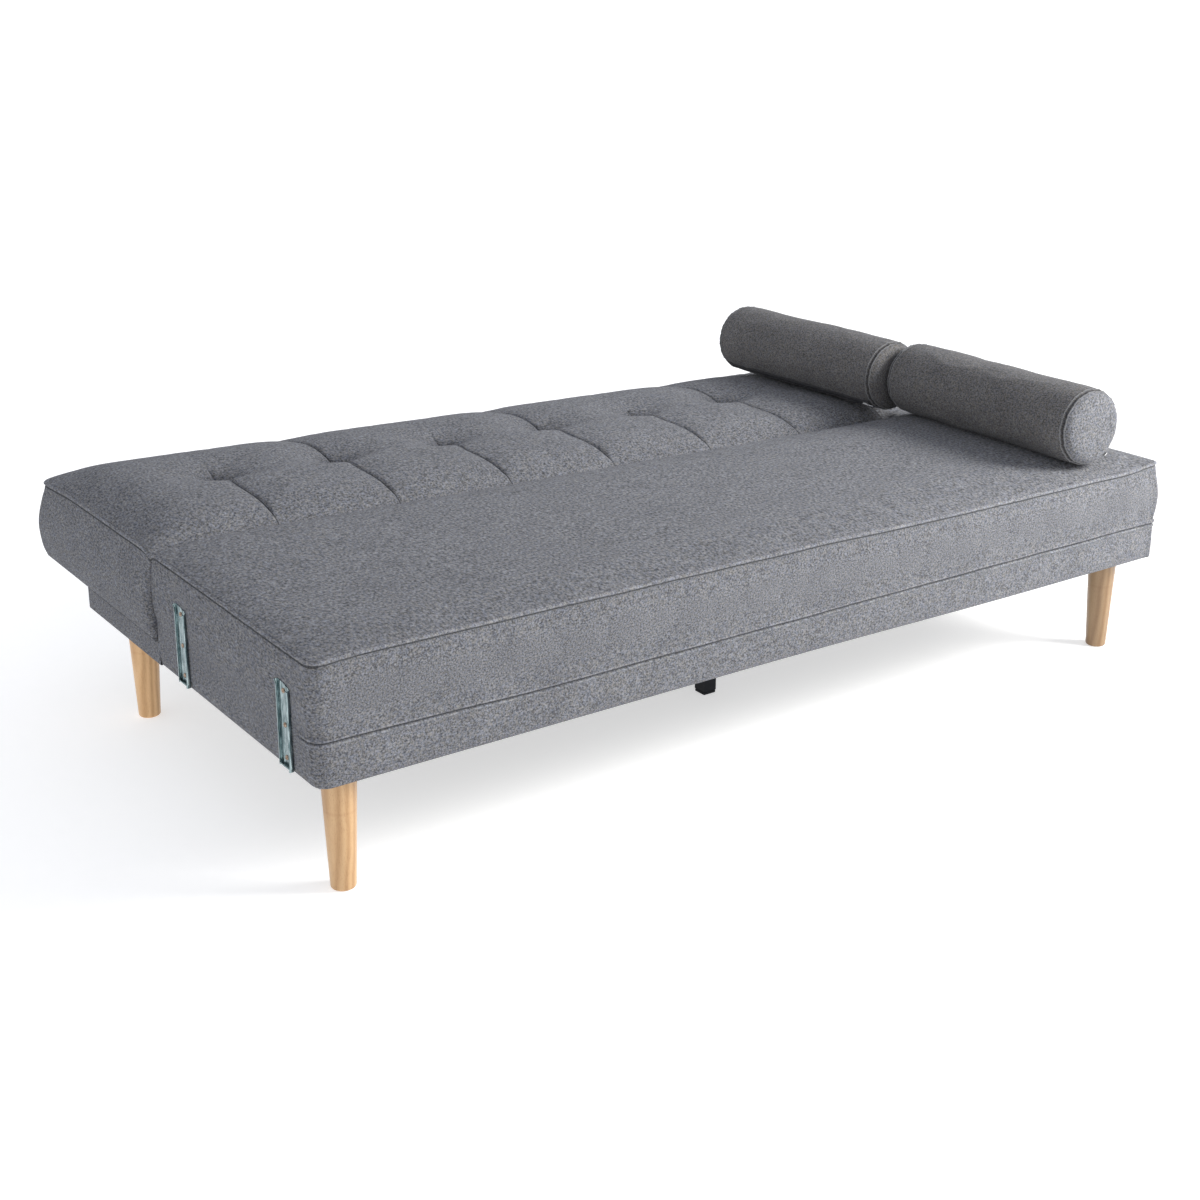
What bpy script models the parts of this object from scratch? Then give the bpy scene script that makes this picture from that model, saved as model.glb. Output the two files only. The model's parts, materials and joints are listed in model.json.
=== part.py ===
"""Click-clack futon sofa bed, laid flat as a bed, with two bolsters and four arm brackets.

Metres, +Z up. X runs along the sofa, -Y is its front, the floor is z = 0 and the origin is
below the middle of the bed. The backrest turns about +X at the hinge line.
"""
import math

import bmesh
import bpy
from mathutils import Matrix, Vector

# ---- driving dimensions -------------------------------------------------------------------
LENGTH = 1.800                    # both cushions, end to end
SEAT_DEPTH = 0.578
BACK_DEPTH = 0.529
DEPTH = SEAT_DEPTH + BACK_DEPTH
UNDERSIDE = 0.193                 # bottom edge of the seat cover
BACK_UNDERSIDE = 0.2405
SEAM_Z = 0.378                    # top seam of both cushions
CROWN = ((0.050, 0.010), (0.090, 0.006))      # inset from the seam, then rise
PLINTH_DEPTH = 0.9105             # front of the seat to the rear of the plinth

END_X = LENGTH / 2
FRONT = -DEPTH / 2
REAR = DEPTH / 2
HINGE_Y = FRONT + SEAT_DEPTH
HINGE_Z = SEAM_Z - 0.010          # the two cushions' edges slope down to the hinge line
PLINTH_REAR = FRONT + PLINTH_DEPTH

COVER_T = 0.0016                  # fabric
CLEAR = 0.0003                    # gap between pieces that touch
SKIN = 0.0026                     # fabric and clearance, from the outer face to the foam
HALF_JOINT = 0.001                # each cushion stops this far from the hinge plane
CORNER_R = 0.022
RAIL_T = 0.022
RAIL_X = END_X - 0.006            # outer face of the end rails
CORNER_RAIL_X = END_X - CORNER_R  # end of a rail that runs into two round corners
RAIL_BOTTOM = UNDERSIDE + 0.0025
SEAT_RAIL_TOP = 0.290
END_RAIL_TOP = 0.335
PLINTH_TOP = 0.2375
BACK_RAIL_BOTTOM = BACK_UNDERSIDE + SKIN
BACK_RAIL_TOP = 0.300
BOARD_T = 0.009
FRAME_GAP = 0.0076                # from the hinge plane to either frame

LEG_X = 0.836
LEG_FRONT_Y = FRONT + 0.060
LEG_REAR_Y = FRONT + 0.8185
LEG_TOP = UNDERSIDE - 0.0025
LEG_R_TOP = 0.0275
LEG_R_BOTTOM = 0.0195
LEG_PLATE = 0.090
BOLT_R = 0.004

FOOT_X = 0.050
FOOT_Y = FRONT + 0.320
FOOT_W = 0.028

HINGE_X = 0.800
LEAF_W = 0.036
KNUCKLE_R = 0.0072
PIN_R = 0.0030

BRACKET_Y = (FRONT + 0.0875, FRONT + 0.4595)
BRACKET_Z = (0.1990, 0.3325)
BRACKET_W = 0.038
BRACKET_T = 0.0018
BRACKET_OUT = 0.0082
LIP_IN = 0.0038
SCREW_Z = (0.215, 0.266, 0.319)
SCREW_R = 0.0020

BOLSTER_R = 0.0735
BOLSTER_L = 0.517
BOLSTER_Z = 0.3965 + BOLSTER_R
NEAR_BOLSTER = (0.737, FRONT + 0.271)
NEAR_YAW = math.radians(-3)
FAR_BOLSTER = (0.720, FRONT + 0.7915)
FAR_SHIFT = 0.500                 # how far it travels in -X and in -Y while it swings over
ZIP_ANGLE = math.radians(40)      # zip line, from straight down
ZIP_LENGTH = 0.464

COLOURS = {
    "fabric": ((0.150, 0.160, 0.175, 1), 0.95, 0.0),
    "foam": ((0.85, 0.80, 0.62, 1), 0.90, 0.0),
    "lining": ((0.020, 0.020, 0.022, 1), 0.90, 0.0),
    "beech": ((0.720, 0.500, 0.300, 1), 0.45, 0.0),
    "pine": ((0.700, 0.560, 0.380, 1), 0.60, 0.0),
    "zinc": ((0.620, 0.680, 0.690, 1), 0.32, 1.0),
    "black_steel": ((0.015, 0.015, 0.016, 1), 0.45, 0.6),
    "nylon": ((0.020, 0.020, 0.020, 1), 0.55, 0.0),
}


# ---- scene helpers ------------------------------------------------------------------------
def clear_scene():
    for old in list(bpy.data.objects):
        bpy.data.objects.remove(old, do_unlink=True)


def make_collection(name):
    group = bpy.data.collections.new(name)
    bpy.context.scene.collection.children.link(group)
    return group


def make_material(name, kind):
    colour, rough, metal = COLOURS[kind]
    mat = bpy.data.materials.new(name)
    mat.use_nodes = True
    shader = mat.node_tree.nodes["Principled BSDF"]
    shader.inputs["Base Color"].default_value = colour
    shader.inputs["Roughness"].default_value = rough
    shader.inputs["Metallic"].default_value = metal
    mat.diffuse_color = colour
    return mat


clear_scene()
PARTS = make_collection("futon_sofa_bed")
CUTTERS = make_collection("cutters")


def add_part(name, mesh, kind, parent=None, location=(0, 0, 0)):
    obj = bpy.data.objects.new(name, mesh)
    obj.location = location
    PARTS.objects.link(obj)
    if parent:
        obj.parent = parent
        obj.matrix_parent_inverse = parent.matrix_world.inverted()
    mesh.materials.clear()
    mesh.materials.append(make_material(name, kind))
    return obj


def add_cutter(name, bm):
    mesh = bpy.data.meshes.new(name)
    bm.to_mesh(mesh)
    bm.free()
    obj = bpy.data.objects.new(name, mesh)
    obj.hide_render = True
    obj.display_type = "WIRE"
    CUTTERS.objects.link(obj)
    return obj


def add_pivot(name, location):
    empty = bpy.data.objects.new(name, None)
    empty.location = location
    PARTS.objects.link(empty)
    empty.matrix_world = Matrix.Translation(location)
    return empty


def boolean(obj, other, operation="DIFFERENCE"):
    mod = obj.modifiers.new(operation.lower(), "BOOLEAN")
    mod.operation = operation
    mod.object = other
    mod.solver = "EXACT"


def shell(obj, thickness=COVER_T):
    mod = obj.modifiers.new("fabric", "SOLIDIFY")
    mod.thickness = thickness
    mod.offset = -1
    mod.use_even_offset = True


# ---- shape helpers ------------------------------------------------------------------------
def box_bm(low, high):
    bm = bmesh.new()
    bmesh.ops.create_cube(bm, size=1.0)
    size = Vector(high) - Vector(low)
    bmesh.ops.scale(bm, vec=size, verts=bm.verts)
    bmesh.ops.translate(bm, vec=(Vector(low) + Vector(high)) / 2, verts=bm.verts)
    return bm


def box(name, low, high, kind, parent=None, edge=0.0):
    bm = box_bm(low, high)
    if edge:
        bmesh.ops.bevel(bm, geom=bm.edges[:], offset=edge, segments=1, affect="EDGES")
    mesh = bpy.data.meshes.new(name)
    bm.to_mesh(mesh)
    bm.free()
    return add_part(name, mesh, kind, parent)


def cylinder_bm(radius, length, centre, along, segments=16, bm=None):
    bm = bm or bmesh.new()
    turn = Vector((0, 0, 1)).rotation_difference(Vector(along)).to_matrix().to_4x4()
    bmesh.ops.create_cone(bm, cap_ends=True, segments=segments, radius1=radius, radius2=radius,
                          depth=length, matrix=Matrix.Translation(centre) @ turn)
    return bm


def turned(name, profile, kind, segments=20, parent=None, location=(0, 0, 0)):
    """Lathe a profile of (radius, z), outer side from top to bottom, about the local Z axis."""
    mesh = bpy.data.meshes.new(name)
    points = [(radius, 0, z) for radius, z in profile]
    mesh.from_pydata(points, [(i, i + 1) for i in range(len(points) - 1)], [])
    obj = add_part(name, mesh, kind, parent, location)
    mod = obj.modifiers.new("turn", "SCREW")
    mod.angle = 2 * math.pi
    mod.steps = mod.render_steps = segments
    mod.use_merge_vertices = True
    mod.merge_threshold = 1e-4
    mod.use_smooth_shade = True
    return obj


def outline(name, loops, thickness, matrix, kind, parent=None):
    """A flat outline in its local XY plane, thickened along local Z, as a mesh."""
    curve = bpy.data.curves.new(name, "CURVE")
    curve.dimensions = "2D"
    curve.fill_mode = "BOTH"
    curve.extrude = thickness / 2
    for loop in loops:
        spline = curve.splines.new("POLY")
        spline.points.add(len(loop) - 1)
        for point, (x, y) in zip(spline.points, loop):
            point.co = (x, y, 0, 1)
        spline.use_cyclic_u = True
    flat = bpy.data.objects.new(name + "_curve", curve)
    CUTTERS.objects.link(flat)
    evaluated = flat.evaluated_get(bpy.context.evaluated_depsgraph_get())
    mesh = bpy.data.meshes.new_from_object(evaluated)
    bpy.data.objects.remove(flat, do_unlink=True)
    bm = bmesh.new()
    bm.from_mesh(mesh)
    bmesh.ops.remove_doubles(bm, verts=bm.verts, dist=1e-5)
    bmesh.ops.recalc_face_normals(bm, faces=bm.faces)
    bm.transform(matrix)
    bm.to_mesh(mesh)
    bm.free()
    mesh.name = name
    return add_part(name, mesh, kind, parent)


def circle(centre, radius, count, start=0.0, sweep=2 * math.pi, closed=True):
    steps = count if closed else count - 1
    angles = [start + sweep * i / steps for i in range(count)]
    return [(centre[0] + radius * math.cos(a), centre[1] + radius * math.sin(a)) for a in angles]


def cushion_bm(low_y, high_y, bottom, inset, hinge_side, corner_r):
    """A block with round upright corners, a crowned top and a slope down to the hinge line."""
    side = END_X - inset
    bm = box_bm((-side, low_y, bottom), (side, high_y, SEAM_Z - inset))
    top = max(bm.faces, key=lambda f: f.calc_center_median().z)
    for step_in, rise in CROWN:
        bmesh.ops.inset_individual(bm, faces=[top], thickness=step_in)
        bmesh.ops.translate(bm, vec=(0, 0, rise), verts=top.verts)
    upright = [e for e in bm.edges if (e.verts[0].co - e.verts[1].co).cross((0, 0, 1)).length < 1e-6]
    outer = [e for e in upright if (e.verts[0].co.y - HINGE_Y) * hinge_side > 0.1]
    bmesh.ops.bevel(bm, geom=outer, offset=corner_r, segments=4, affect="EDGES", profile=0.5)
    slope = Vector((0, -hinge_side, 1)).normalized()
    cut = Vector((0, HINGE_Y, HINGE_Z)) - slope * inset
    bmesh.ops.bisect_plane(bm, geom=bm.verts[:] + bm.edges[:] + bm.faces[:], dist=1e-6,
                           plane_co=cut, plane_no=slope, clear_outer=True)
    bmesh.ops.holes_fill(bm, edges=[e for e in bm.edges if e.is_boundary], sides=0)
    bmesh.ops.recalc_face_normals(bm, faces=bm.faces)
    return bm


def cushion(name, bm, kind, parent=None, open_below=False):
    if open_below:
        below = min(bm.faces, key=lambda f: f.calc_center_median().z)
        bmesh.ops.delete(bm, geom=[below], context="FACES")
    mesh = bpy.data.meshes.new(name)
    bm.to_mesh(mesh)
    bm.free()
    return add_part(name, mesh, kind, parent)


def knuckle_cutter(name, radius):
    """The clearance for both hinges' knuckles, shared by the covers and the foam."""
    bm = bmesh.new()
    for side in (-1, 1):
        cylinder_bm(radius, 2 * LEAF_W + 0.012, (side * HINGE_X, HINGE_Y, HINGE_Z), (1, 0, 0),
                    bm=bm)
    return add_cutter(name, bm)


def each_screw():
    for side, side_name in ((-1, "left"), (1, "right")):
        for y, y_name in zip(BRACKET_Y, ("front", "rear")):
            for z, z_name in zip(SCREW_Z, ("low", "mid", "top")):
                yield side, f"{side_name}_{y_name}", z_name, y, z


# ---- base ---------------------------------------------------------------------------------
def make_base():
    front = FRONT + 0.004
    box("base_front_rail", (-CORNER_RAIL_X, front, RAIL_BOTTOM),
        (CORNER_RAIL_X, front + RAIL_T, SEAT_RAIL_TOP), "pine")
    rear = PLINTH_REAR - 0.004
    box("base_rear_rail", (-RAIL_X, rear - RAIL_T, RAIL_BOTTOM), (RAIL_X, rear, PLINTH_TOP), "pine")
    first = front + RAIL_T + CLEAR
    last = rear - RAIL_T - CLEAR
    step = HINGE_Y - FRAME_GAP
    profile = ((first, RAIL_BOTTOM), (last, RAIL_BOTTOM), (last, PLINTH_TOP),
               (step, PLINTH_TOP), (step, END_RAIL_TOP), (first, END_RAIL_TOP))
    upright = Matrix(((0, 0, 1, 0), (1, 0, 0, 0), (0, 1, 0, 0), (0, 0, 0, 1)))
    inside = RAIL_X - RAIL_T
    for side, side_name in ((-1, "left"), (1, "right")):
        place = Matrix.Translation((side * (RAIL_X - RAIL_T / 2), 0, 0)) @ upright
        rail = outline(f"base_{side_name}_rail", [profile], RAIL_T, place, "pine")
        boolean(rail, SCREW_HOLES)
    box("seat_rear_rail", (-inside + CLEAR, step - RAIL_T, RAIL_BOTTOM),
        (inside - CLEAR, step, SEAT_RAIL_TOP), "pine")
    board_bottom = SEAT_RAIL_TOP - BOARD_T
    box("base_long_beam", (-inside + CLEAR, FOOT_Y - 0.020, RAIL_BOTTOM),
        (inside - CLEAR, FOOT_Y + 0.020, board_bottom - CLEAR), "pine")
    box("seat_board", (-inside + CLEAR, first, board_bottom),
        (inside - CLEAR, step - RAIL_T - CLEAR, SEAT_RAIL_TOP), "pine")
    lining = box("dust_cover", (-END_X + 0.009, FRONT + 0.009, UNDERSIDE + CLEAR),
                 (END_X - 0.009, PLINTH_REAR - 0.003, UNDERSIDE + 0.0016), "lining")
    half = FOOT_W / 2 + 0.001
    boolean(lining, add_cutter("foot_hole", box_bm((FOOT_X - half, FOOT_Y - half, 0.1),
                                                   (FOOT_X + half, FOOT_Y + half, 0.3))))


def make_seat_cushion():
    bottom = SEAT_RAIL_TOP + 0.0006
    bm = cushion_bm(FRONT + SKIN, HINGE_Y - FRAME_GAP, bottom, SKIN, -1, CORNER_R - SKIN)
    foam = cushion("seat_foam", bm, "foam")
    inside = RAIL_X - RAIL_T - CLEAR
    for side, side_name in ((-1, "left"), (1, "right")):
        ends = sorted((side * inside, side * 1.0))
        notch = box_bm((ends[0], -1, 0.2), (ends[1], 1, END_RAIL_TOP + 0.0006))
        boolean(foam, add_cutter(f"{side_name}_rail_notch", notch))
    bm = cushion_bm(FRONT, HINGE_Y - HALF_JOINT, UNDERSIDE, 0.0, -1, CORNER_R)
    cover = cushion("seat_cover", bm, "fabric", open_below=True)
    shell(cover)
    passage = box_bm((-END_X + 0.003, HINGE_Y - 0.010, 0.15),
                     (END_X - 0.003, HINGE_Y + 0.010, BACK_UNDERSIDE))
    boolean(cover, add_cutter("rail_passage", passage))
    boolean(cover, KNUCKLES)
    boolean(cover, SCREW_HOLES)
    boolean(foam, KNUCKLES)


def make_plinth_cover():
    bm = box_bm((-END_X, HINGE_Y - HALF_JOINT + CLEAR, UNDERSIDE),
                (END_X, PLINTH_REAR, BACK_UNDERSIDE - CLEAR))
    unwanted = [f for f in bm.faces if f.normal.z < -0.5 or f.normal.y < -0.5]
    bmesh.ops.delete(bm, geom=unwanted, context="FACES")
    mesh = bpy.data.meshes.new("plinth_cover")
    bm.to_mesh(mesh)
    bm.free()
    shell(add_part("plinth_cover", mesh, "fabric"))


def make_legs():
    bore = BOLT_R + CLEAR
    bore_bottom = LEG_TOP - 0.038
    round_edge = 0.004
    for y, y_name in ((LEG_FRONT_Y, "front"), (LEG_REAR_Y, "rear")):
        for side, side_name in ((-1, "left"), (1, "right")):
            where = f"{y_name}_{side_name}"
            place = (side * LEG_X, y, 0)
            profile = [(0, bore_bottom), (bore, bore_bottom), (bore, LEG_TOP),
                       (LEG_R_TOP - 0.0015, LEG_TOP), (LEG_R_TOP, LEG_TOP - 0.0015)]
            profile += [(LEG_R_BOTTOM - round_edge + round_edge * math.cos(a),
                         round_edge - round_edge * math.sin(a))
                        for a in (0, math.pi / 4, math.pi / 2)]
            profile.append((0, 0))
            turned(f"leg_{where}", profile, "beech", location=place)
            half = LEG_PLATE / 2
            low = (place[0] - half, y - half, LEG_TOP + CLEAR)
            high = (place[0] + half, y + half, UNDERSIDE - CLEAR)
            plate = box(f"leg_plate_{where}", low, high, "black_steel")
            hole = cylinder_bm(bore, 0.02, (place[0], y, LEG_TOP), (0, 0, 1))
            boolean(plate, add_cutter(f"bolt_hole_{where}", hole))
            bolt = [(0, UNDERSIDE - CLEAR), (BOLT_R, UNDERSIDE - CLEAR),
                    (BOLT_R, bore_bottom + 0.004), (0, bore_bottom + CLEAR)]
            turned(f"leg_bolt_{where}", bolt, "zinc", segments=12, location=place)


def make_centre_foot():
    half = FOOT_W / 2
    low = (FOOT_X - half, FOOT_Y - half)
    high = (FOOT_X + half, FOOT_Y + half)
    cap_top = 0.006
    box("centre_foot_cap", (*low, 0), (*high, cap_top), "nylon", edge=0.0015)
    bm = box_bm((*low, cap_top + CLEAR), (*high, RAIL_BOTTOM - CLEAR))
    ends = [f for f in bm.faces if f.normal.z > 0.5]
    bmesh.ops.delete(bm, geom=ends, context="FACES")
    mesh = bpy.data.meshes.new("centre_foot")
    bm.to_mesh(mesh)
    bm.free()
    shell(add_part("centre_foot", mesh, "black_steel"), 0.0015)


# ---- arm brackets -------------------------------------------------------------------------
def screw_holes():
    bm = bmesh.new()
    for side, _, _, y, z in each_screw():
        cylinder_bm(SCREW_R + 0.0004, 0.060, (side * (END_X - 0.005), y, z), (1, 0, 0), 8, bm)
    return add_cutter("screw_holes", bm)


def make_brackets():
    half = BRACKET_W / 2
    lip = BRACKET_OUT - 0.0016
    wall = half - BRACKET_T
    mouth = half - LIP_IN
    channel = ((0, -half), (BRACKET_OUT, -half), (BRACKET_OUT, -mouth), (lip, -mouth),
               (lip, -wall), (BRACKET_T, -wall), (BRACKET_T, wall), (lip, wall),
               (lip, mouth), (BRACKET_OUT, mouth), (BRACKET_OUT, half), (0, half))
    middle_z = sum(BRACKET_Z) / 2
    height = BRACKET_Z[1] - BRACKET_Z[0]
    for side, side_name in ((-1, "left"), (1, "right")):
        for y, y_name in zip(BRACKET_Y, ("front", "rear")):
            place = Matrix.Translation((side * (END_X + CLEAR), y, middle_z))
            place = place @ Matrix.Diagonal((side, 1, 1, 1))
            where = f"{side_name}_{y_name}"
            bracket = outline(f"arm_bracket_{where}", [channel], height, place, "zinc")
            bottom = BRACKET_Z[0]
            ends = sorted((side * (END_X + 0.001), side * (END_X + CLEAR + BRACKET_OUT - 0.0004)))
            stop = box_bm((ends[0], y - wall - 0.0004, bottom + 0.0002),
                          (ends[1], y + wall + 0.0004, bottom + 0.002))
            boolean(bracket, add_cutter(f"stop_{where}", stop), "UNION")
            boolean(bracket, SCREW_HOLES)
    seat = END_X + CLEAR + BRACKET_T + 0.0001
    for side, where, z_name, y, z in each_screw():
        name = f"screw_{where}_{z_name}"
        profile = [(0, 0.0018), (0.0026, 0.0015), (0.0040, 0.0004), (0.0040, 0),
                   (SCREW_R, 0), (SCREW_R, -0.018), (0, -0.022)]
        screw = turned(name, profile, "zinc", segments=10, location=(side * seat, y, z))
        screw.rotation_euler = (0, side * math.pi / 2, 0)


# ---- hinges -------------------------------------------------------------------------------
def make_hinges(back):
    ring = KNUCKLE_R
    leaf_in = 0.0042
    meet = -math.sqrt(ring ** 2 - leaf_in ** 2)
    start = math.atan2(meet, -leaf_in)
    arc = circle((0, 0), ring, 15, start, math.pi - start, closed=False)
    drop = 0.112
    leaf = [(-ring, -drop), (-leaf_in, -drop)] + arc
    eye = circle((0, 0), PIN_R + CLEAR, 12)
    upright = Matrix(((0, 0, 1, 0), (1, 0, 0, 0), (0, 1, 0, 0), (0, 0, 0, 1)))
    for side, side_name in ((-1, "left"), (1, "right")):
        offset = LEAF_W / 2 + 0.001
        for mirror, shift, owner in ((1, -offset, None), (-1, offset, back)):
            place = Matrix.Translation((side * HINGE_X + shift, HINGE_Y, HINGE_Z)) @ upright
            loops = [[(mirror * y, z) for y, z in leaf], eye]
            piece = "hinge_seat_leaf" if owner is None else "hinge_back_leaf"
            outline(f"{piece}_{side_name}", loops, LEAF_W, place, "black_steel", owner)
        length = 2 * LEAF_W + 0.006
        pin = turned(f"hinge_pin_{side_name}",
                     [(0, length / 2), (PIN_R, length / 2), (PIN_R, -length / 2), (0, -length / 2)],
                     "black_steel", segments=12, location=(side * HINGE_X, HINGE_Y, HINGE_Z))
        pin.rotation_euler = (0, math.pi / 2, 0)


# ---- backrest -----------------------------------------------------------------------------
def make_back(pivot):
    inside = RAIL_X - RAIL_T
    near = HINGE_Y + FRAME_GAP
    far = REAR - 0.004
    box("back_bottom_rail", (-RAIL_X, near, BACK_RAIL_BOTTOM),
        (RAIL_X, near + RAIL_T, BACK_RAIL_TOP), "pine", pivot)
    box("back_top_rail", (-CORNER_RAIL_X, far - RAIL_T, BACK_RAIL_BOTTOM),
        (CORNER_RAIL_X, far, BACK_RAIL_TOP), "pine", pivot)
    first = near + RAIL_T + CLEAR
    last = far - RAIL_T - CLEAR
    for side, side_name in ((-1, "left"), (1, "right")):
        ends = sorted((side * inside, side * RAIL_X))
        box(f"back_{side_name}_rail", (ends[0], first, BACK_RAIL_BOTTOM),
            (ends[1], last, BACK_RAIL_TOP), "pine", pivot)
    box("back_board", (-inside + CLEAR, first, BACK_RAIL_TOP - BOARD_T),
        (inside - CLEAR, last, BACK_RAIL_TOP), "pine", pivot)
    bottom = BACK_RAIL_TOP + 0.0006
    bm = cushion_bm(near, REAR - SKIN, bottom, SKIN, 1, CORNER_R - SKIN)
    foam = cushion("back_foam", bm, "foam", pivot)
    boolean(foam, KNUCKLES)
    bm = cushion_bm(HINGE_Y + HALF_JOINT, REAR, BACK_UNDERSIDE, 0.0, 1, CORNER_R)
    cover = cushion("back_cover", bm, "fabric", pivot)
    shell(cover)
    slit = box_bm((-0.35, 0.280, BACK_UNDERSIDE - 0.01), (0.35, 0.288, BACK_UNDERSIDE + 0.0022))
    boolean(cover, add_cutter("closing_slit", slit))
    boolean(cover, KNUCKLES)


# ---- bolsters -----------------------------------------------------------------------------
def bolster_profile(inset):
    """Radius and height of a cylinder cushion with domed ends, from one pole to the other."""
    dome = 0.030
    half = BOLSTER_L / 2 - inset
    radius = BOLSTER_R - inset
    upper = [(radius * math.sin(a) ** 0.6, half - dome * (1 - math.cos(a)))
             for a in [i * math.pi / 12 for i in range(7)]]
    upper[0] = (0, half)
    return upper + [(r, -z) for r, z in reversed(upper)]


def make_bolster(label, centre, yaw, zip_side, pivot):
    spot = Vector((*centre, BOLSTER_Z))
    along = Matrix.Rotation(yaw, 4, "Z") @ Matrix.Rotation(math.radians(-90), 4, "X")
    frame = Matrix.Translation(spot) @ along
    outward = Vector((zip_side * math.sin(ZIP_ANGLE), 0, -math.cos(ZIP_ANGLE)))
    outward = Matrix.Rotation(yaw, 3, "Z") @ outward
    axis = along.to_3x3() @ Vector((0, 0, 1))
    cover = turned(f"{label}_bolster_cover", bolster_profile(0), "fabric", 28, pivot)
    core = turned(f"{label}_bolster_core", bolster_profile(SKIN), "foam", 20, pivot)
    for obj in (cover, core):
        obj.matrix_world = frame
    shell(cover)
    square = Matrix((axis, outward, axis.cross(outward))).transposed().to_4x4()
    bm = box_bm((-ZIP_LENGTH / 2, BOLSTER_R - 0.004, -0.0015),
                (ZIP_LENGTH / 2, BOLSTER_R + 0.003, 0.0015))
    bm.transform(Matrix.Translation(spot) @ square)
    boolean(cover, add_cutter(f"{label}_zip_opening", bm))
    low = BOLSTER_R + 0.0006
    body, tab, tip = low + 0.0030, low + 0.0042, 0.024
    slider = ((-0.006, low), (0.006, low), (0.006, tab), (-tip, tab), (-tip, body), (-0.006, body))
    start = spot - axis * (ZIP_LENGTH / 2 - 0.012)
    place = Matrix.Translation(start) @ square
    outline(f"{label}_zip_slider", [slider], 0.007, place, "zinc", pivot)


KNUCKLES = knuckle_cutter("knuckle_clearance", KNUCKLE_R + 0.0016)
SCREW_HOLES = screw_holes()
make_base()
make_seat_cushion()
make_plinth_cover()
make_legs()
make_centre_foot()
make_brackets()
recline = add_pivot("recline_axis", (0, HINGE_Y, HINGE_Z))
make_hinges(recline)
make_back(recline)
near_pivot = add_pivot("near_bolster_lift_axis", (*NEAR_BOLSTER, BOLSTER_Z))
make_bolster("near", NEAR_BOLSTER, NEAR_YAW, 1, near_pivot)
swing_centre = (FAR_BOLSTER[0] - FAR_SHIFT / 2, FAR_BOLSTER[1] - FAR_SHIFT / 2, BOLSTER_Z)
far_pivot = add_pivot("far_bolster_swing_axis", swing_centre)
make_bolster("far", FAR_BOLSTER, 0.0, -1, far_pivot)
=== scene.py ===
"""Looks of the click-clack futon sofa bed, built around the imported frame. Metres, +Z up."""

import json
import math

import bmesh
import bpy
import numpy as np
from mathutils import Matrix, Vector, noise


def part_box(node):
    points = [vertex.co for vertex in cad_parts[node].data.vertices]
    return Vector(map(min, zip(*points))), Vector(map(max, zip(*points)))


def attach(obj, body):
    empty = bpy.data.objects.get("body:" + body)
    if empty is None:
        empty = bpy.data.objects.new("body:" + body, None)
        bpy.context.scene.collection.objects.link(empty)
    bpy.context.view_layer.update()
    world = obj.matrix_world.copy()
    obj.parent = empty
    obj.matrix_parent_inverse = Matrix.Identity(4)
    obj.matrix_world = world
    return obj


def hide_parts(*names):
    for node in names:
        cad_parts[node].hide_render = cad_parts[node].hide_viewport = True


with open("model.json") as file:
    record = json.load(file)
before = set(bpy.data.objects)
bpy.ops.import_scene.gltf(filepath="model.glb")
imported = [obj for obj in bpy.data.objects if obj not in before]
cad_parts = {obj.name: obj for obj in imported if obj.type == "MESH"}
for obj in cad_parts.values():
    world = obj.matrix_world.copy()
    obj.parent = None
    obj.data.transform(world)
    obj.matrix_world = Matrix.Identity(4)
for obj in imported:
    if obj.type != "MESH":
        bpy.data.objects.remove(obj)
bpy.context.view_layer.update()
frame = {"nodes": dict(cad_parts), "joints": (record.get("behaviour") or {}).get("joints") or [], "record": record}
NODES = frame["nodes"]
JOINTS = {joint["name"]: joint for joint in frame["joints"]}

# ---- sizes, from the frame ------------------------------------------------------------------
SEAT_LOW, SEAT_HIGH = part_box("seat_cover")
BACK_LOW, BACK_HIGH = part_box("back_cover")
PLINTH_LOW, PLINTH_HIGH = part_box("plinth_cover")
HINGE = Vector(JOINTS["recline"]["pos_m"])
END_X = SEAT_HIGH.x
SEAM_Z = HINGE.z + 0.0095         # top seam of both cushions, at mid-length
LOW_SEAM_Z = 0.2573               # seam along the front of the seat
PANEL = 0.234
SEAMS = [-0.670 + PANEL * k for k in range(7)]
FULL_SEAMS = (1, 3, 5)            # the seams that run on to the rear edge
TUFT_Y = 0.268
HINGE_R = 0.006                   # corner radius beside the hinge
SEAT_TOP = 0.3970
BACK_CROWN = 0.029
THREAD_R = 0.00045
STITCH_PITCH = 0.0042
STITCH_LENGTH = 0.0034
SEAT_END_SWELL = 0.0065           # the seat's right end stands out this far
BACK_END_SWELL = 0.0080           # so does the foot of each end of the backrest
BOLSTER_LENGTH = 0.517
ZIP_HALF = 0.233


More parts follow.
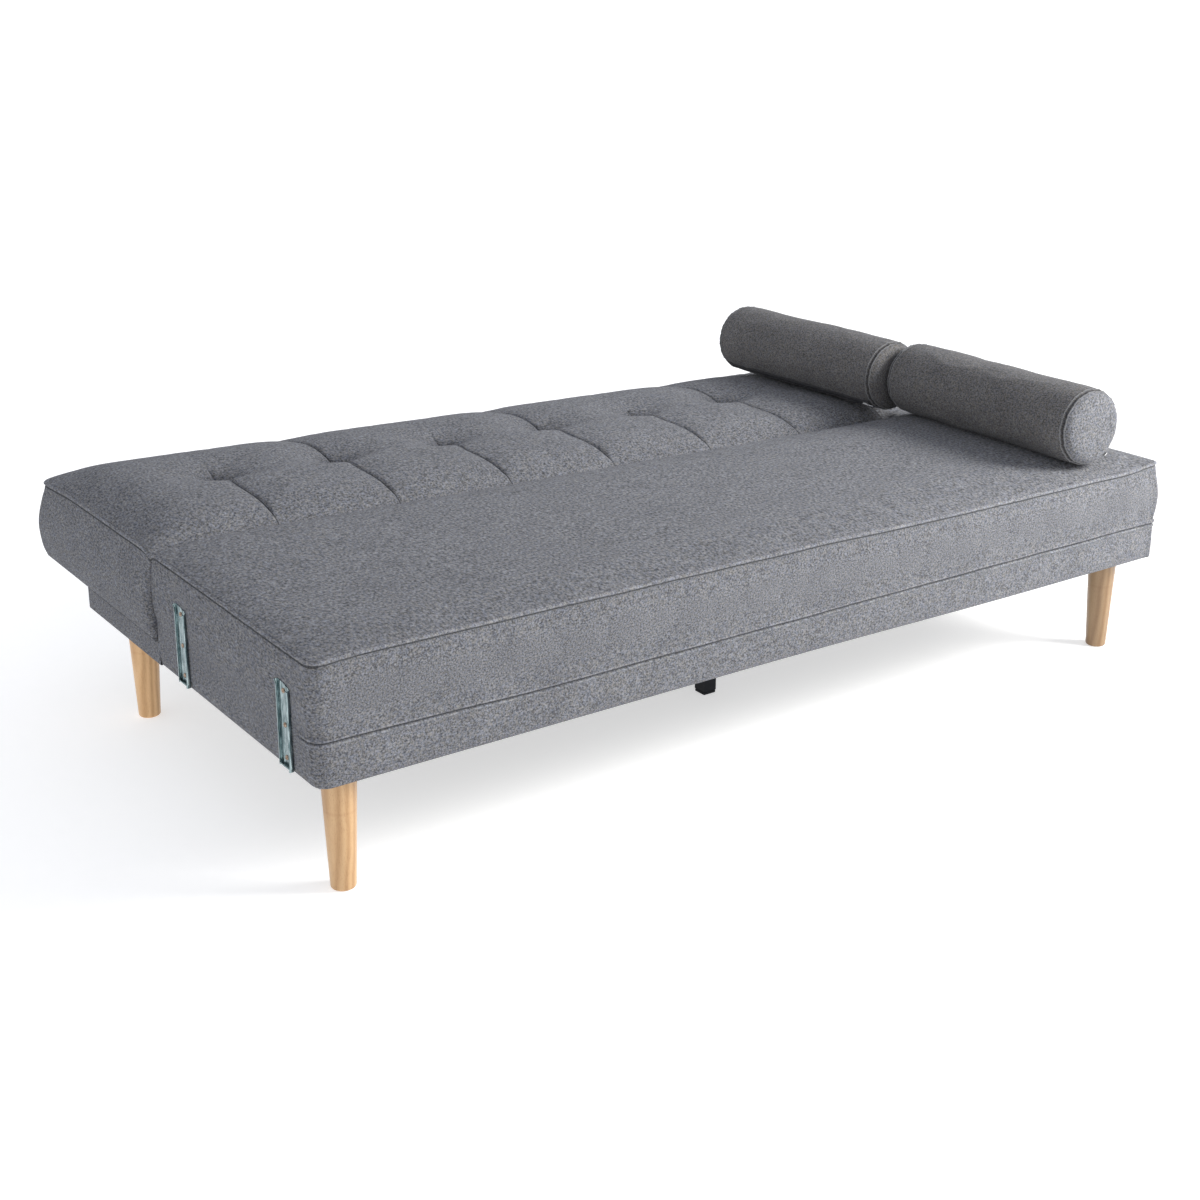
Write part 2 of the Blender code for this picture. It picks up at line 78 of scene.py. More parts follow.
# ---- materials ------------------------------------------------------------------------------
class Nodes:
    """A short way to wire one material's nodes."""

    def __init__(self, name):
        self.material = bpy.data.materials.new(name)
        self.material.use_nodes = True
        self.tree = self.material.node_tree
        self.shader = self.tree.nodes["Principled BSDF"]
        self.coords = self.tree.nodes.new("ShaderNodeTexCoord").outputs["Object"]

    def add(self, kind, inputs=None, **settings):
        node = self.tree.nodes.new("ShaderNode" + kind)
        for key, value in settings.items():
            setattr(node, key, value)
        for key, value in (inputs or {}).items():
            if isinstance(value, bpy.types.NodeSocket):
                self.tree.links.new(value, node.inputs[key])
            else:
                node.inputs[key].default_value = value
        return node

    def math(self, operation, a, b=0.0):
        return self.add("Math", {0: a, 1: b}, operation=operation).outputs[0]

    def scaled(self, scale):
        return self.add("Mapping", {"Vector": self.coords, "Scale": scale}).outputs["Vector"]

    def noise(self, scale, detail=2.0, rough=0.5, vector=None):
        """Noise whose features are 1/scale metres long along each axis."""
        if isinstance(scale, (int, float)):
            scale = (scale, scale, scale)
        vector = vector or self.scaled(scale)
        node = self.add("TexNoise", {"Vector": vector, "Scale": 1.0, "Detail": detail,
                                     "Roughness": rough})
        return node.outputs["Fac"]

    def ramp(self, value, stops):
        node = self.add("ValToRGB", {"Fac": value})
        ramp = node.color_ramp
        ramp.elements[0].position, ramp.elements[0].color = stops[0][0], (*stops[0][1], 1)
        ramp.elements[1].position, ramp.elements[1].color = stops[-1][0], (*stops[-1][1], 1)
        for place, colour in stops[1:-1]:
            ramp.elements.new(place).color = (*colour, 1)
        return node.outputs["Color"]

    def mix(self, factor, a, b, blend="MIX"):
        node = self.add("Mix", data_type="RGBA", blend_type=blend)
        for key, value in ((0, factor), (6, a), (7, b)):
            if isinstance(value, bpy.types.NodeSocket):
                self.tree.links.new(value, node.inputs[key])
            else:
                node.inputs[key].default_value = value if key == 0 else (*value, 1)
        return node.outputs[2]

    def bump(self, height, strength, distance, normal=None):
        inputs = {"Height": height, "Strength": strength, "Distance": distance}
        if normal:
            inputs["Normal"] = normal
        return self.add("Bump", inputs).outputs["Normal"]

    def finish(self, colour, rough, metal=0.0, normal=None, **sockets):
        for key, value in (("Base Color", colour), ("Roughness", rough), ("Metallic", metal)):
            if isinstance(value, bpy.types.NodeSocket):
                self.tree.links.new(value, self.shader.inputs[key])
            elif key == "Base Color":
                self.shader.inputs[key].default_value = (*value, 1)
            else:
                self.shader.inputs[key].default_value = value
        if normal:
            self.tree.links.new(normal, self.shader.inputs["Normal"])
        for key, value in sockets.items():
            self.shader.inputs[key.replace("_", " ")].default_value = value
        return self.material


def shade(colour, factor):
    return tuple(c * factor for c in colour)


def melange(name, dark, light, grain, weave_axes):
    """Woven melange polyester. grain gives the yarn flecks per metre along each axis, and weave_axes the two
    thread axes. The pulled tufts carry a painted_tuft_shade value, where shade is painted into the cloth as a
    darker colour."""
    n = Nodes(name)
    yarn = n.noise(grain, 2.0, 0.62)
    fibre = n.noise(1050.0, 1.0, 0.5)
    patch = n.noise(15.0, 3.0, 0.55)
    tone = n.math("ADD", n.math("MULTIPLY", yarn, 0.74), n.math("MULTIPLY", fibre, 0.26))
    middle = [a * 0.52 + b * 0.48 for a, b in zip(dark, light)]
    colour = n.ramp(tone, ((0.345, dark), (0.50, middle), (0.655, light)))
    tint = n.noise([g * 0.8 for g in grain[::-1]], 1.0)
    hue = n.ramp(tint, ((0.36, (0.95, 0.985, 1.07)), (0.64, (1.05, 1.01, 0.93))))
    colour = n.mix(1.0, colour, hue, "MULTIPLY")
    mottle = n.ramp(patch, ((0.28, (0.87, 0.87, 0.88)), (0.72, (1.03, 1.03, 1.03))))
    colour = n.mix(1.0, colour, mottle, "MULTIPLY")
    # Painted shade: the cloth is darkened in the bottoms of the pulled tufts, where shade falls.
    painted_tuft_shade = n.add("Attribute", attribute_name="painted_tuft_shade").outputs["Fac"]
    colour = n.mix(painted_tuft_shade, colour, (0.50, 0.50, 0.52), "MULTIPLY")
    parts = n.add("SeparateXYZ", {"Vector": n.coords}).outputs
    threads = []
    for axis in weave_axes:
        place = parts[axis[0]]
        for extra in axis[1:]:
            place = n.math("ADD", place, parts[extra])
        threads.append(n.math("SINE", n.math("MULTIPLY", place, 2 * math.pi / 0.0014)))
    weave = n.math("MULTIPLY", threads[0], threads[1])
    height = n.math("ADD", n.math("MULTIPLY", weave, 0.35), n.math("MULTIPLY", fibre, 1.2))
    normal = n.bump(height, 0.60, 0.0006)
    return n.finish(colour, 0.95, normal=normal, Specular_IOR_Level=0.15, Sheen_Weight=0.06,
                    Sheen_Roughness=0.5, Sheen_Tint=(0.85, 0.90, 1.0, 1.0))


def thread_material(name, dark, light):
    n = Nodes(name)
    twist = n.noise(1400.0, 1.0)
    colour = n.ramp(twist, ((0.3, dark), (0.7, light)))
    return n.finish(colour, 0.7, normal=n.bump(twist, 0.5, 0.0002), Sheen_Weight=0.2)


def beech(name, tone):
    n = Nodes(name)
    warp = n.noise((9.0, 9.0, 3.0), 3.0)
    parts = n.add("SeparateXYZ", {"Vector": n.coords}).outputs
    ring = n.math("ADD", n.math("MULTIPLY", parts[0], 520.0), n.math("MULTIPLY", warp, 16.0))
    band = n.math("ADD", n.math("MULTIPLY", n.math("SINE", ring), 0.5), 0.5)
    grain = n.noise((900.0, 900.0, 28.0), 3.0, 0.6)
    figure = n.math("ADD", n.math("MULTIPLY", band, 0.45), n.math("MULTIPLY", grain, 0.55))
    colour = n.ramp(figure, ((0.20, shade((0.400, 0.225, 0.095), tone)),
                             (0.48, shade((0.500, 0.300, 0.140), tone)),
                             (0.80, shade((0.570, 0.365, 0.185), tone))))
    flecks = n.noise((1500.0, 1500.0, 190.0), 1.0)
    dark = n.ramp(flecks, ((0.60, (1.0, 1.0, 1.0)), (0.72, (0.72, 0.62, 0.54))))
    colour = n.mix(0.7, colour, dark, "MULTIPLY")
    joint = n.math("ABSOLUTE", n.math("SUBTRACT", parts[2], 0.128))
    line = n.ramp(joint, ((0.0, (0.80, 0.70, 0.60)), (0.0009, (1.0, 1.0, 1.0))))
    colour = n.mix(0.30, colour, line, "MULTIPLY")
    rough = n.math("ADD", n.math("MULTIPLY", grain, 0.18), 0.30)
    return n.finish(colour, rough, normal=n.bump(grain, 0.25, 0.0003), Coat_Weight=0.25,
                    Coat_Roughness=0.22)


def timber(name, dark, light, along):
    n = Nodes(name)
    scale = [260.0, 260.0, 260.0]
    scale[along] = 7.0
    grain = n.noise(scale, 4.0, 0.6)
    colour = n.ramp(grain, ((0.3, dark), (0.7, light)))
    return n.finish(colour, 0.65, normal=n.bump(grain, 0.4, 0.0004))


def metal(name, dark, light, rough, streak=(500.0, 500.0, 60.0)):
    """Plated steel: cloudy streaks along the strip, and fine brushing in its gloss."""
    n = Nodes(name)
    cloud = n.noise(streak, 3.0, 0.6)
    brushed = n.noise((1200.0, 1200.0, 90.0), 2.0)
    tint = n.ramp(cloud, ((0.38, dark), (0.62, light)))
    gloss = n.math("ADD", n.math("MULTIPLY", brushed, 0.20), rough - 0.08)
    return n.finish(tint, gloss, 1.0, normal=n.bump(cloud, 0.25, 0.0003))


def coated(name, colour, rough, scale=1500.0, strength=0.35):
    """Powder coat, moulded nylon, non-woven lining or foam: a speckled matt surface."""
    n = Nodes(name)
    grit = n.noise(scale, 3.0, 0.65)
    lighter = [min(1.0, c * 1.5 + 0.004) for c in colour]
    speckle = n.ramp(grit, ((0.35, colour), (0.65, lighter)))
    return n.finish(speckle, rough, normal=n.bump(grit, strength, 0.0004),
                    Specular_IOR_Level=0.2)


SEAT_DARK, SEAT_LIGHT = (0.046, 0.047, 0.052), (0.258, 0.262, 0.279)
TOP_GRAIN, SIDE_GRAIN = (240.0, 165.0, 480.0), (350.0, 170.0, 400.0)
BOLSTER_GRAIN = (360.0, 260.0, 360.0)
SIDE_WEAVE, BOLSTER_WEAVE = ((0, 1), (2,)), ((1,), (0, 2))
FABRIC_TOP = melange("fabric_top", SEAT_DARK, SEAT_LIGHT, TOP_GRAIN, ((0,), (1,)))
FABRIC_SIDE = melange("fabric_side", SEAT_DARK, SEAT_LIGHT, SIDE_GRAIN, SIDE_WEAVE)
# Lit and shaded copies of the side cloth: the lighter ridge cloth is a painted highlight on seam ridges, and the
# darker groove cloth is painted shade in seam grooves.
FABRIC_RIDGE_HIGHLIGHT = melange("fabric_seam_ridge_painted_highlight", shade(SEAT_DARK, 1.45), shade(SEAT_LIGHT, 1.26),
                       SIDE_GRAIN, SIDE_WEAVE)
FABRIC_GROOVE_SHADE = melange("fabric_seam_groove_painted_shade", shade(SEAT_DARK, 0.5), shade(SEAT_LIGHT, 0.45),
                        SIDE_GRAIN, SIDE_WEAVE)
# The bolster cloth is the seat cloth made darker and less blue: painted shade.
BOLSTER_DARK, BOLSTER_LIGHT = (0.048, 0.046, 0.046), (0.205, 0.200, 0.200)
FABRIC_BOLSTER_SHADED = melange("fabric_bolster", BOLSTER_DARK, BOLSTER_LIGHT, BOLSTER_GRAIN,
                         BOLSTER_WEAVE)
FABRIC_CAP = melange("fabric_bolster_cap", SEAT_DARK, SEAT_LIGHT, (300.0, 300.0, 300.0),
                     ((0,), (2,)))
# A darker copy of the bolster cloth for the rows beside each ring seam: painted shade in the seam's crease.
FABRIC_RING_SHADE = melange("fabric_bolster_ring_painted_shade", shade(BOLSTER_DARK, 0.5), shade(BOLSTER_LIGHT, 0.45),
                      BOLSTER_GRAIN, BOLSTER_WEAVE)
THREAD = thread_material("sewing_thread", (0.040, 0.042, 0.047), (0.085, 0.088, 0.096))
ROPE = thread_material("overlock_thread", (0.110, 0.112, 0.118), (0.270, 0.274, 0.285))
# Each leg's wood is scaled lighter or darker for the light on it: painted shade on the front right and rear right
# legs, painted light on the rear left leg.
BEECH_LIGHT_AND_SHADE = {"front_left": 1.0, "front_right": 0.50, "rear_left": 1.30, "rear_right": 0.9}
BEECH = {where: beech(f"beech_{where}", tone) for where, tone in BEECH_LIGHT_AND_SHADE.items()}
ZINC = metal("zinc_plate", (0.10, 0.155, 0.165), (0.42, 0.51, 0.52), 0.20)
SCREW = metal("screw_plate", (0.15, 0.10, 0.07), (0.50, 0.38, 0.29), 0.26, (700.0, 700.0, 700.0))
NICKEL = metal("zip_nickel", (0.62, 0.62, 0.63), (0.78, 0.78, 0.78), 0.22, (300.0, 300.0, 300.0))
BLACK = coated("black_powder_coat", (0.004, 0.005, 0.008), 0.6)
NYLON = coated("black_nylon", (0.006, 0.007, 0.010), 0.6)
LINING = coated("dust_lining", (0.016, 0.016, 0.018), 0.95, 900.0, 0.8)
FOAM = coated("foam", (0.62, 0.56, 0.36), 0.95, 700.0, 0.9)
PINE = timber("pine", (0.46, 0.31, 0.16), (0.66, 0.50, 0.30), 0)
PLY = timber("plywood", (0.42, 0.29, 0.16), (0.58, 0.43, 0.26), 1)


# ---- mesh helpers ---------------------------------------------------------------------------
def spaced(*marks):
    """Places along a line. Each mark is (place, step from there on); the last is (place, 0)."""
    places = []
    for (start, step), (end, _) in zip(marks, marks[1:]):
        count = max(1, round((end - start) / step))
        places += [start + (end - start) * i / count for i in range(count)]
    return np.array(places + [marks[-1][0]])


def rise(distance, width, power=2.4):
    """0 at an edge, rounding up to 1 at this width from it."""
    return 1 - (1 - np.clip(distance / width, 0, 1)) ** power


def smooth(t):
    t = np.clip(t, 0, 1)
    return t * t * (3 - 2 * t)


def softmin(a, b, k):
    """The lesser of two heights, with the corner between them rounded over about k."""
    h = np.clip(0.5 + 0.5 * (b - a) / k, 0, 1)
    return b * (1 - h) + a * h - k * h * (1 - h)


def wobble(x, y, z, size, seed):
    """Smooth noise from -1 to 1 whose lumps are about size metres across."""
    points = zip(np.ravel(x) / size + seed, np.ravel(y) / size, np.ravel(z) / size)
    return np.array([noise.noise(Vector(p)) for p in points]).reshape(np.shape(x))


def link(name, data):
    """A new object with this data, in the scene."""
    obj = bpy.data.objects.new(name, data)
    bpy.context.scene.collection.objects.link(obj)
    return obj


def add_object(name, vertices, faces, materials, body, face_material=None):
    mesh = bpy.data.meshes.new(name)
    mesh.from_pydata([tuple(v) for v in vertices], [], faces)
    mesh.update()
    for material in materials:
        mesh.materials.append(material)
    if face_material is not None:
        mesh.polygons.foreach_set("material_index", face_material)
    mesh.shade_smooth()
    obj = link(name, mesh)
    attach(obj, body)
    return obj


def subdivide(obj):
    mod = obj.modifiers.new("subdivision", "SUBSURF")
    mod.levels = mod.render_levels = 1


def inflate(obj, pinned, pressure, slack, cap, frames=20):
    """Cloth under pressure between its pinned seams. No point moves further than cap."""
    group = obj.vertex_groups.new(name="pinned")
    group.add([int(i) for i in pinned], 1.0, "REPLACE")
    mod = obj.modifiers.new("cloth", "CLOTH")
    cloth = mod.settings
    cloth.quality = 6
    cloth.mass = 0.35
    cloth.tension_stiffness = cloth.compression_stiffness = 12
    cloth.shear_stiffness = 6
    cloth.bending_stiffness = 0.8
    cloth.use_pressure = True
    cloth.uniform_pressure_force = pressure
    cloth.shrink_min = -slack
    cloth.vertex_group_mass = "pinned"
    cloth.pin_stiffness = 1.0
    cloth.effector_weights.gravity = 0
    mod.collision_settings.use_collision = False
    mod.collision_settings.use_self_collision = False
    mod.point_cache.frame_start, mod.point_cache.frame_end = 1, frames
    scene = bpy.context.scene
    for frame_number in range(1, frames + 1):
        scene.frame_set(frame_number)
    evaluated = obj.evaluated_get(bpy.context.evaluated_depsgraph_get())
    count = len(obj.data.vertices)
    before, after = np.empty(count * 3), np.empty(count * 3)
    obj.data.vertices.foreach_get("co", before)
    evaluated.data.vertices.foreach_get("co", after)
    obj.modifiers.remove(mod)
    obj.vertex_groups.remove(group)
    move = (after - before).reshape(-1, 3)
    far = np.linalg.norm(move, axis=1, keepdims=True)
    move *= cap / np.sqrt(cap ** 2 + far ** 2)
    obj.data.vertices.foreach_set("co", before + move.ravel())
    obj.data.update()
    scene.frame_set(1)


def lathe_faces(rings, segments, start=0):
    """The quads between rings of vertices. start is the first ring's first vertex."""
    faces = []
    for r in range(rings - 1):
        a, b = start + r * segments, start + (r + 1) * segments
        for k in range(segments):
            n = (k + 1) % segments
            faces.append((a + k, a + n, b + n, b + k))
    return faces


class Outline:
    """A rectangle in plan with round corners, and the grid that fills it."""

    def __init__(self, xs, ys, radii):
        self.xs, self.ys = xs, ys
        self.shape = (len(xs), len(ys))
        self.x, self.y = (g.astype(float) for g in np.meshgrid(xs, ys, indexing="ij"))
        side, low, high = xs[-1], ys[0], ys[-1]
        normal = np.zeros((*self.shape, 2))
        normal[0, :, 0], normal[-1, :, 0] = -1, 1
        normal[:, 0, 1], normal[:, -1, 1] = -1, 1
        flat_x, flat_y = self.x.copy(), self.y.copy()
        for (sign_x, sign_y), radius in radii.items():
            edge = low if sign_y < 0 else high
            a = flat_x * sign_x - (side - radius)
            b = (flat_y - edge) * sign_y + radius
            corner = (a > 0) & (b > 0)
            a, b = a[corner], b[corner]
            a_new = a * np.sqrt(1 - b ** 2 / (2 * radius ** 2))
            b_new = b * np.sqrt(1 - a ** 2 / (2 * radius ** 2))
            self.x[corner] = sign_x * (side - radius + a_new)
            self.y[corner] = edge + sign_y * (b_new - radius)
            normal[corner] = np.stack((sign_x * a_new, sign_y * b_new), -1) / radius
        nx, ny = self.shape
        around = ([(i, 0) for i in range(nx - 1)] + [(nx - 1, j) for j in range(ny - 1)]
                  + [(i, ny - 1) for i in range(nx - 1, 0, -1)]
                  + [(0, j) for j in range(ny - 1, 0, -1)])
        self.loop = np.array([i * ny + j for i, j in around])
        self.loop_x = self.x.ravel()[self.loop]
        self.loop_y = self.y.ravel()[self.loop]
        self.normal = normal.reshape(-1, 2)[self.loop]
        self.normal /= np.linalg.norm(self.normal, axis=1, keepdims=True)
        self.outward = np.pad(self.normal, ((0, 0), (0, 1)))

    def quads(self, start=0, flip=False):
        nx, ny = self.shape
        made = []
        for i in range(nx - 1):
            for j in range(ny - 1):
                a = start + i * ny + j
                quad = (a, a + ny, a + ny + 1, a + 1)
                made.append(quad[::-1] if flip else quad)
        return made


def cushion(name, outline, top_z, rows, body, bands, top_kind=None, underside=None):
    """Top grid, then skirt rows of (height, outward) arrays round the outline, then an optional flat underside.
    bands gives some rows' faces another material where their mask is over a half: kind 2 is the lighter ridge
    cloth, a painted highlight, and kind 3 the darker groove cloth, painted shade. Returns the object, its row
    positions and the vertex index of each row."""
    count = outline.shape[0] * outline.shape[1]
    edge = len(outline.loop)
    top = np.stack((outline.x.ravel(), outline.y.ravel(), top_z.ravel()), -1)
    first_height, first_out = rows[0]
    top[outline.loop, :2] += outline.normal * first_out[:, None]
    top[outline.loop, 2] = first_height
    vertices = [top]
    index = [outline.loop]
    places = [top[outline.loop]]
    for height, out in rows[1:]:
        ring = np.stack((outline.loop_x + outline.normal[:, 0] * out,
                         outline.loop_y + outline.normal[:, 1] * out, height), -1)
        index.append(np.arange(edge) + count + edge * (len(places) - 1))
        vertices.append(ring)
        places.append(ring)
    faces = outline.quads()
    kinds = [0] * len(faces) if top_kind is None else top_kind.ravel().tolist()
    for row, (above, below) in enumerate(zip(index, index[1:])):
        for k in range(edge):
            n = (k + 1) % edge
            faces.append((above[k], below[k], below[n], above[n]))
            # Banded rows take the painted highlight or painted shade cloth.
            kinds.append(bands[row][0] if row in bands and bands[row][1][k] > 0.5 else 1)
    if underside is not None:
        start = sum(len(v) for v in vertices)
        low = np.stack((outline.x.ravel(), outline.y.ravel(), np.full(count, underside)), -1)
        to_ring = dict(zip(outline.loop.tolist(), index[-1].tolist()))
        inner = [i for i in range(count) if i not in to_ring]
        to_ring.update({i: start + k for k, i in enumerate(inner)})
        vertices.append(low[inner])
        faces += [tuple(to_ring[i] for i in quad) for quad in outline.quads(flip=True)]
        kinds += [1] * (len(faces) - len(kinds))
    faces = [tuple(int(i) for i in face) for face in faces]
    obj = add_object(name, np.concatenate(vertices), faces,
                     (FABRIC_TOP, FABRIC_SIDE, FABRIC_RIDGE_HIGHLIGHT, FABRIC_GROOVE_SHADE), body, kinds)
    return obj, places, index


def beads(name, strings, radius, length, material, body, sides=6, lift=0.0):
    """Short rods end to end along each string of (points, normals): stitches or cord twists."""
    vertices, faces = [], []
    for points, normals, pitch in strings:
        points, normals = np.array(points, float), np.array(normals, float)
        steps = np.linalg.norm(np.diff(points, axis=0), axis=1)
        along = np.concatenate(([0], np.cumsum(steps)))
        places = np.arange(pitch / 2, along[-1], pitch)

        def sample(values, where):
            return np.stack([np.interp(where, along, column) for column in values.T], -1)

        tangents = sample(points, places + 1e-3) - sample(points, places - 1e-3)
        for spot, out, tangent in zip(sample(points, places), sample(normals, places), tangents):
            tangent = tangent / (np.linalg.norm(tangent) + 1e-12)
            out = out - tangent * out.dot(tangent)
            out = out / (np.linalg.norm(out) + 1e-12)
            side = np.cross(tangent, out)
            spot = spot + out * lift
            start = len(vertices)
            for shift, size in ((-0.5, 0.35), (-0.3, 1.0), (0.3, 1.0), (0.5, 0.35)):
                for k in range(sides):
                    angle = 2 * math.pi * k / sides
                    ring = (out * math.cos(angle) + side * math.sin(angle)) * radius * size
                    vertices.append(spot + tangent * shift * length + ring)
            faces += lathe_faces(4, sides, start)
            faces.append(tuple(start + k for k in reversed(range(sides))))
            faces.append(tuple(start + 3 * sides + k for k in range(sides)))
    return add_object(name, vertices, faces, (material,), body)


# ---- seat -----------------------------------------------------------------------------------
SEAT_REAR = SEAT_HIGH.y
FRONT = SEAT_LOW.y
SEAT_BOTTOM = SEAT_LOW.z
BRACKETS = [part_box(f"arm_bracket_{side}_{end}") for side in ("left", "right")
            for end in ("front", "rear")]
KNUCKLES = [(*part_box(f"hinge_pin_{side}"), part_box(f"hinge_seat_leaf_{side}")[1].z)
            for side in ("left", "right")]
SEAM_ROWS = ((0.0080, -0.0034), (0.0074, -0.0012), (0.0064, 0.0012), (0.0048, 0.0024),
             (0.0030, 0.0022), (0.0016, 0.0004), (0.0006, -0.0012), (-0.0006, -0.0012),
             (-0.0018, 0.0004), (-0.0040, 0.0010), (-0.0075, 0.0012))
# Rows of the top seam given the ridge cloth (2), a painted highlight, or the groove cloth (3), painted shade.
SEAM_PAINTED_LIGHT_BANDS = {1: 2, 2: 2, 3: 2, 5: 3, 6: 3}
EDGE = SEAM_ROWS[0][0]
STITCH_ROW = 7
LOW_ROWS = ((0.0120, 0.0006), (0.0090, 0.0010), (0.0074, 0.0022), (0.0060, 0.0036),
            (0.0042, 0.0036), (0.0026, 0.0026), (0.0012, 0.0004), (0.0004, -0.0016),
            (-0.0008, -0.0016), (-0.0018, 0.0010), (-0.0030, 0.0024), (-0.0048, 0.0022),
            (-0.0064, 0.0006), (-0.0100, 0.0004))
# Rows of the low seam given the ridge cloth (2), a painted highlight, or the groove cloth (3), painted shade.
LOW_PAINTED_LIGHT_BANDS = {3: 2, 4: 2, 6: 3, 7: 3, 9: 2, 10: 2}
LOW_STITCH = 8


def seam_height(x, y):
    """Height of the top seam's groove. The stuffing is fullest at the left and at the rear."""
    rate = 0.0075 + 0.0140 * smooth((y - FRONT) / 0.55)
    hold = 0.3 + 0.7 * rise(END_X - np.abs(x), 0.15)
    slack = 0.0036 * smooth(x / 0.30) * smooth((0.90 - x) / 0.10) * smooth((0.10 - y) / 0.5)
    rear = 0.0070 * smooth((y - 0.38) / 0.17)
    return SEAM_Z - 0.0005 - rate * x * hold - slack - rear


def seam_rows(seam, seamed, ripple):
    """The ridge and groove of the top seam. They fade to a plain wall at the hinge."""
    rows = []
    for k, (drop, out) in enumerate(SEAM_ROWS):
        plain = EDGE - (EDGE - SEAM_ROWS[-1][0]) * k / (len(SEAM_ROWS) - 1)
        height = seam + drop * seamed + plain * (1 - seamed)
        rows.append((height, seamed * (out + 0.0004 * ripple * (k > 0))))
    return rows


def edge_steps(low, high, low_fine, high_fine, step):
    """Grid lines from low to high, fine beside both edges."""
    return spaced((low, 0.0022), (low + 0.0044, low_fine), (low + 0.022, step),
                  (high - 0.022, high_fine), (high - 0.0044, 0.0022), (high, 0))


def bracket_press(x, y, z):
    """1 on the open fabric, 0 where a bracket is screwed down on it."""
    press = np.ones_like(x)
    for low, high in BRACKETS:
        near = x > 0.5 if low.x > 0 else x < -0.5
        gap = np.maximum(np.maximum(low.y - y, y - high.y), np.maximum(low.z - z, z - high.z))
        press = np.where(near, np.minimum(press, smooth((gap + 0.002) / 0.030)), press)
    return press


def over_hinge(x, y, z):
    """Heights raised where the fabric would otherwise dip below a hinge's knuckles."""
    for low, high, crest in KNUCKLES:
        along = smooth(1 - np.maximum(low.x - x, x - high.x) / 0.020)
        beside = smooth((0.032 - np.abs(y - HINGE.y)) / 0.020)
        z = z + np.maximum(crest + 0.0016 - z, 0) * along * beside
    return z


def seat_dip(y):
    """How far the seat's hinge edge lies below the seam's usual height."""
    return 0.0060 * (1 - rise(SEAT_REAR - y, 0.030))


def seat_top(x, y):
    ends = rise(END_X - np.abs(x), 0.120)
    front = rise(y - FRONT, 0.115)
    back = rise(SEAT_REAR - y, 0.130)
    edge = seam_height(x, y) + EDGE - seat_dip(y)
    lumps = 0.0007 * wobble(x, y, 0 * x, 0.16, 3.0)
    crown = np.maximum(SEAT_TOP - edge, 0.002) * ends * front * back
    return over_hinge(x, y, edge + crown + lumps * ends)


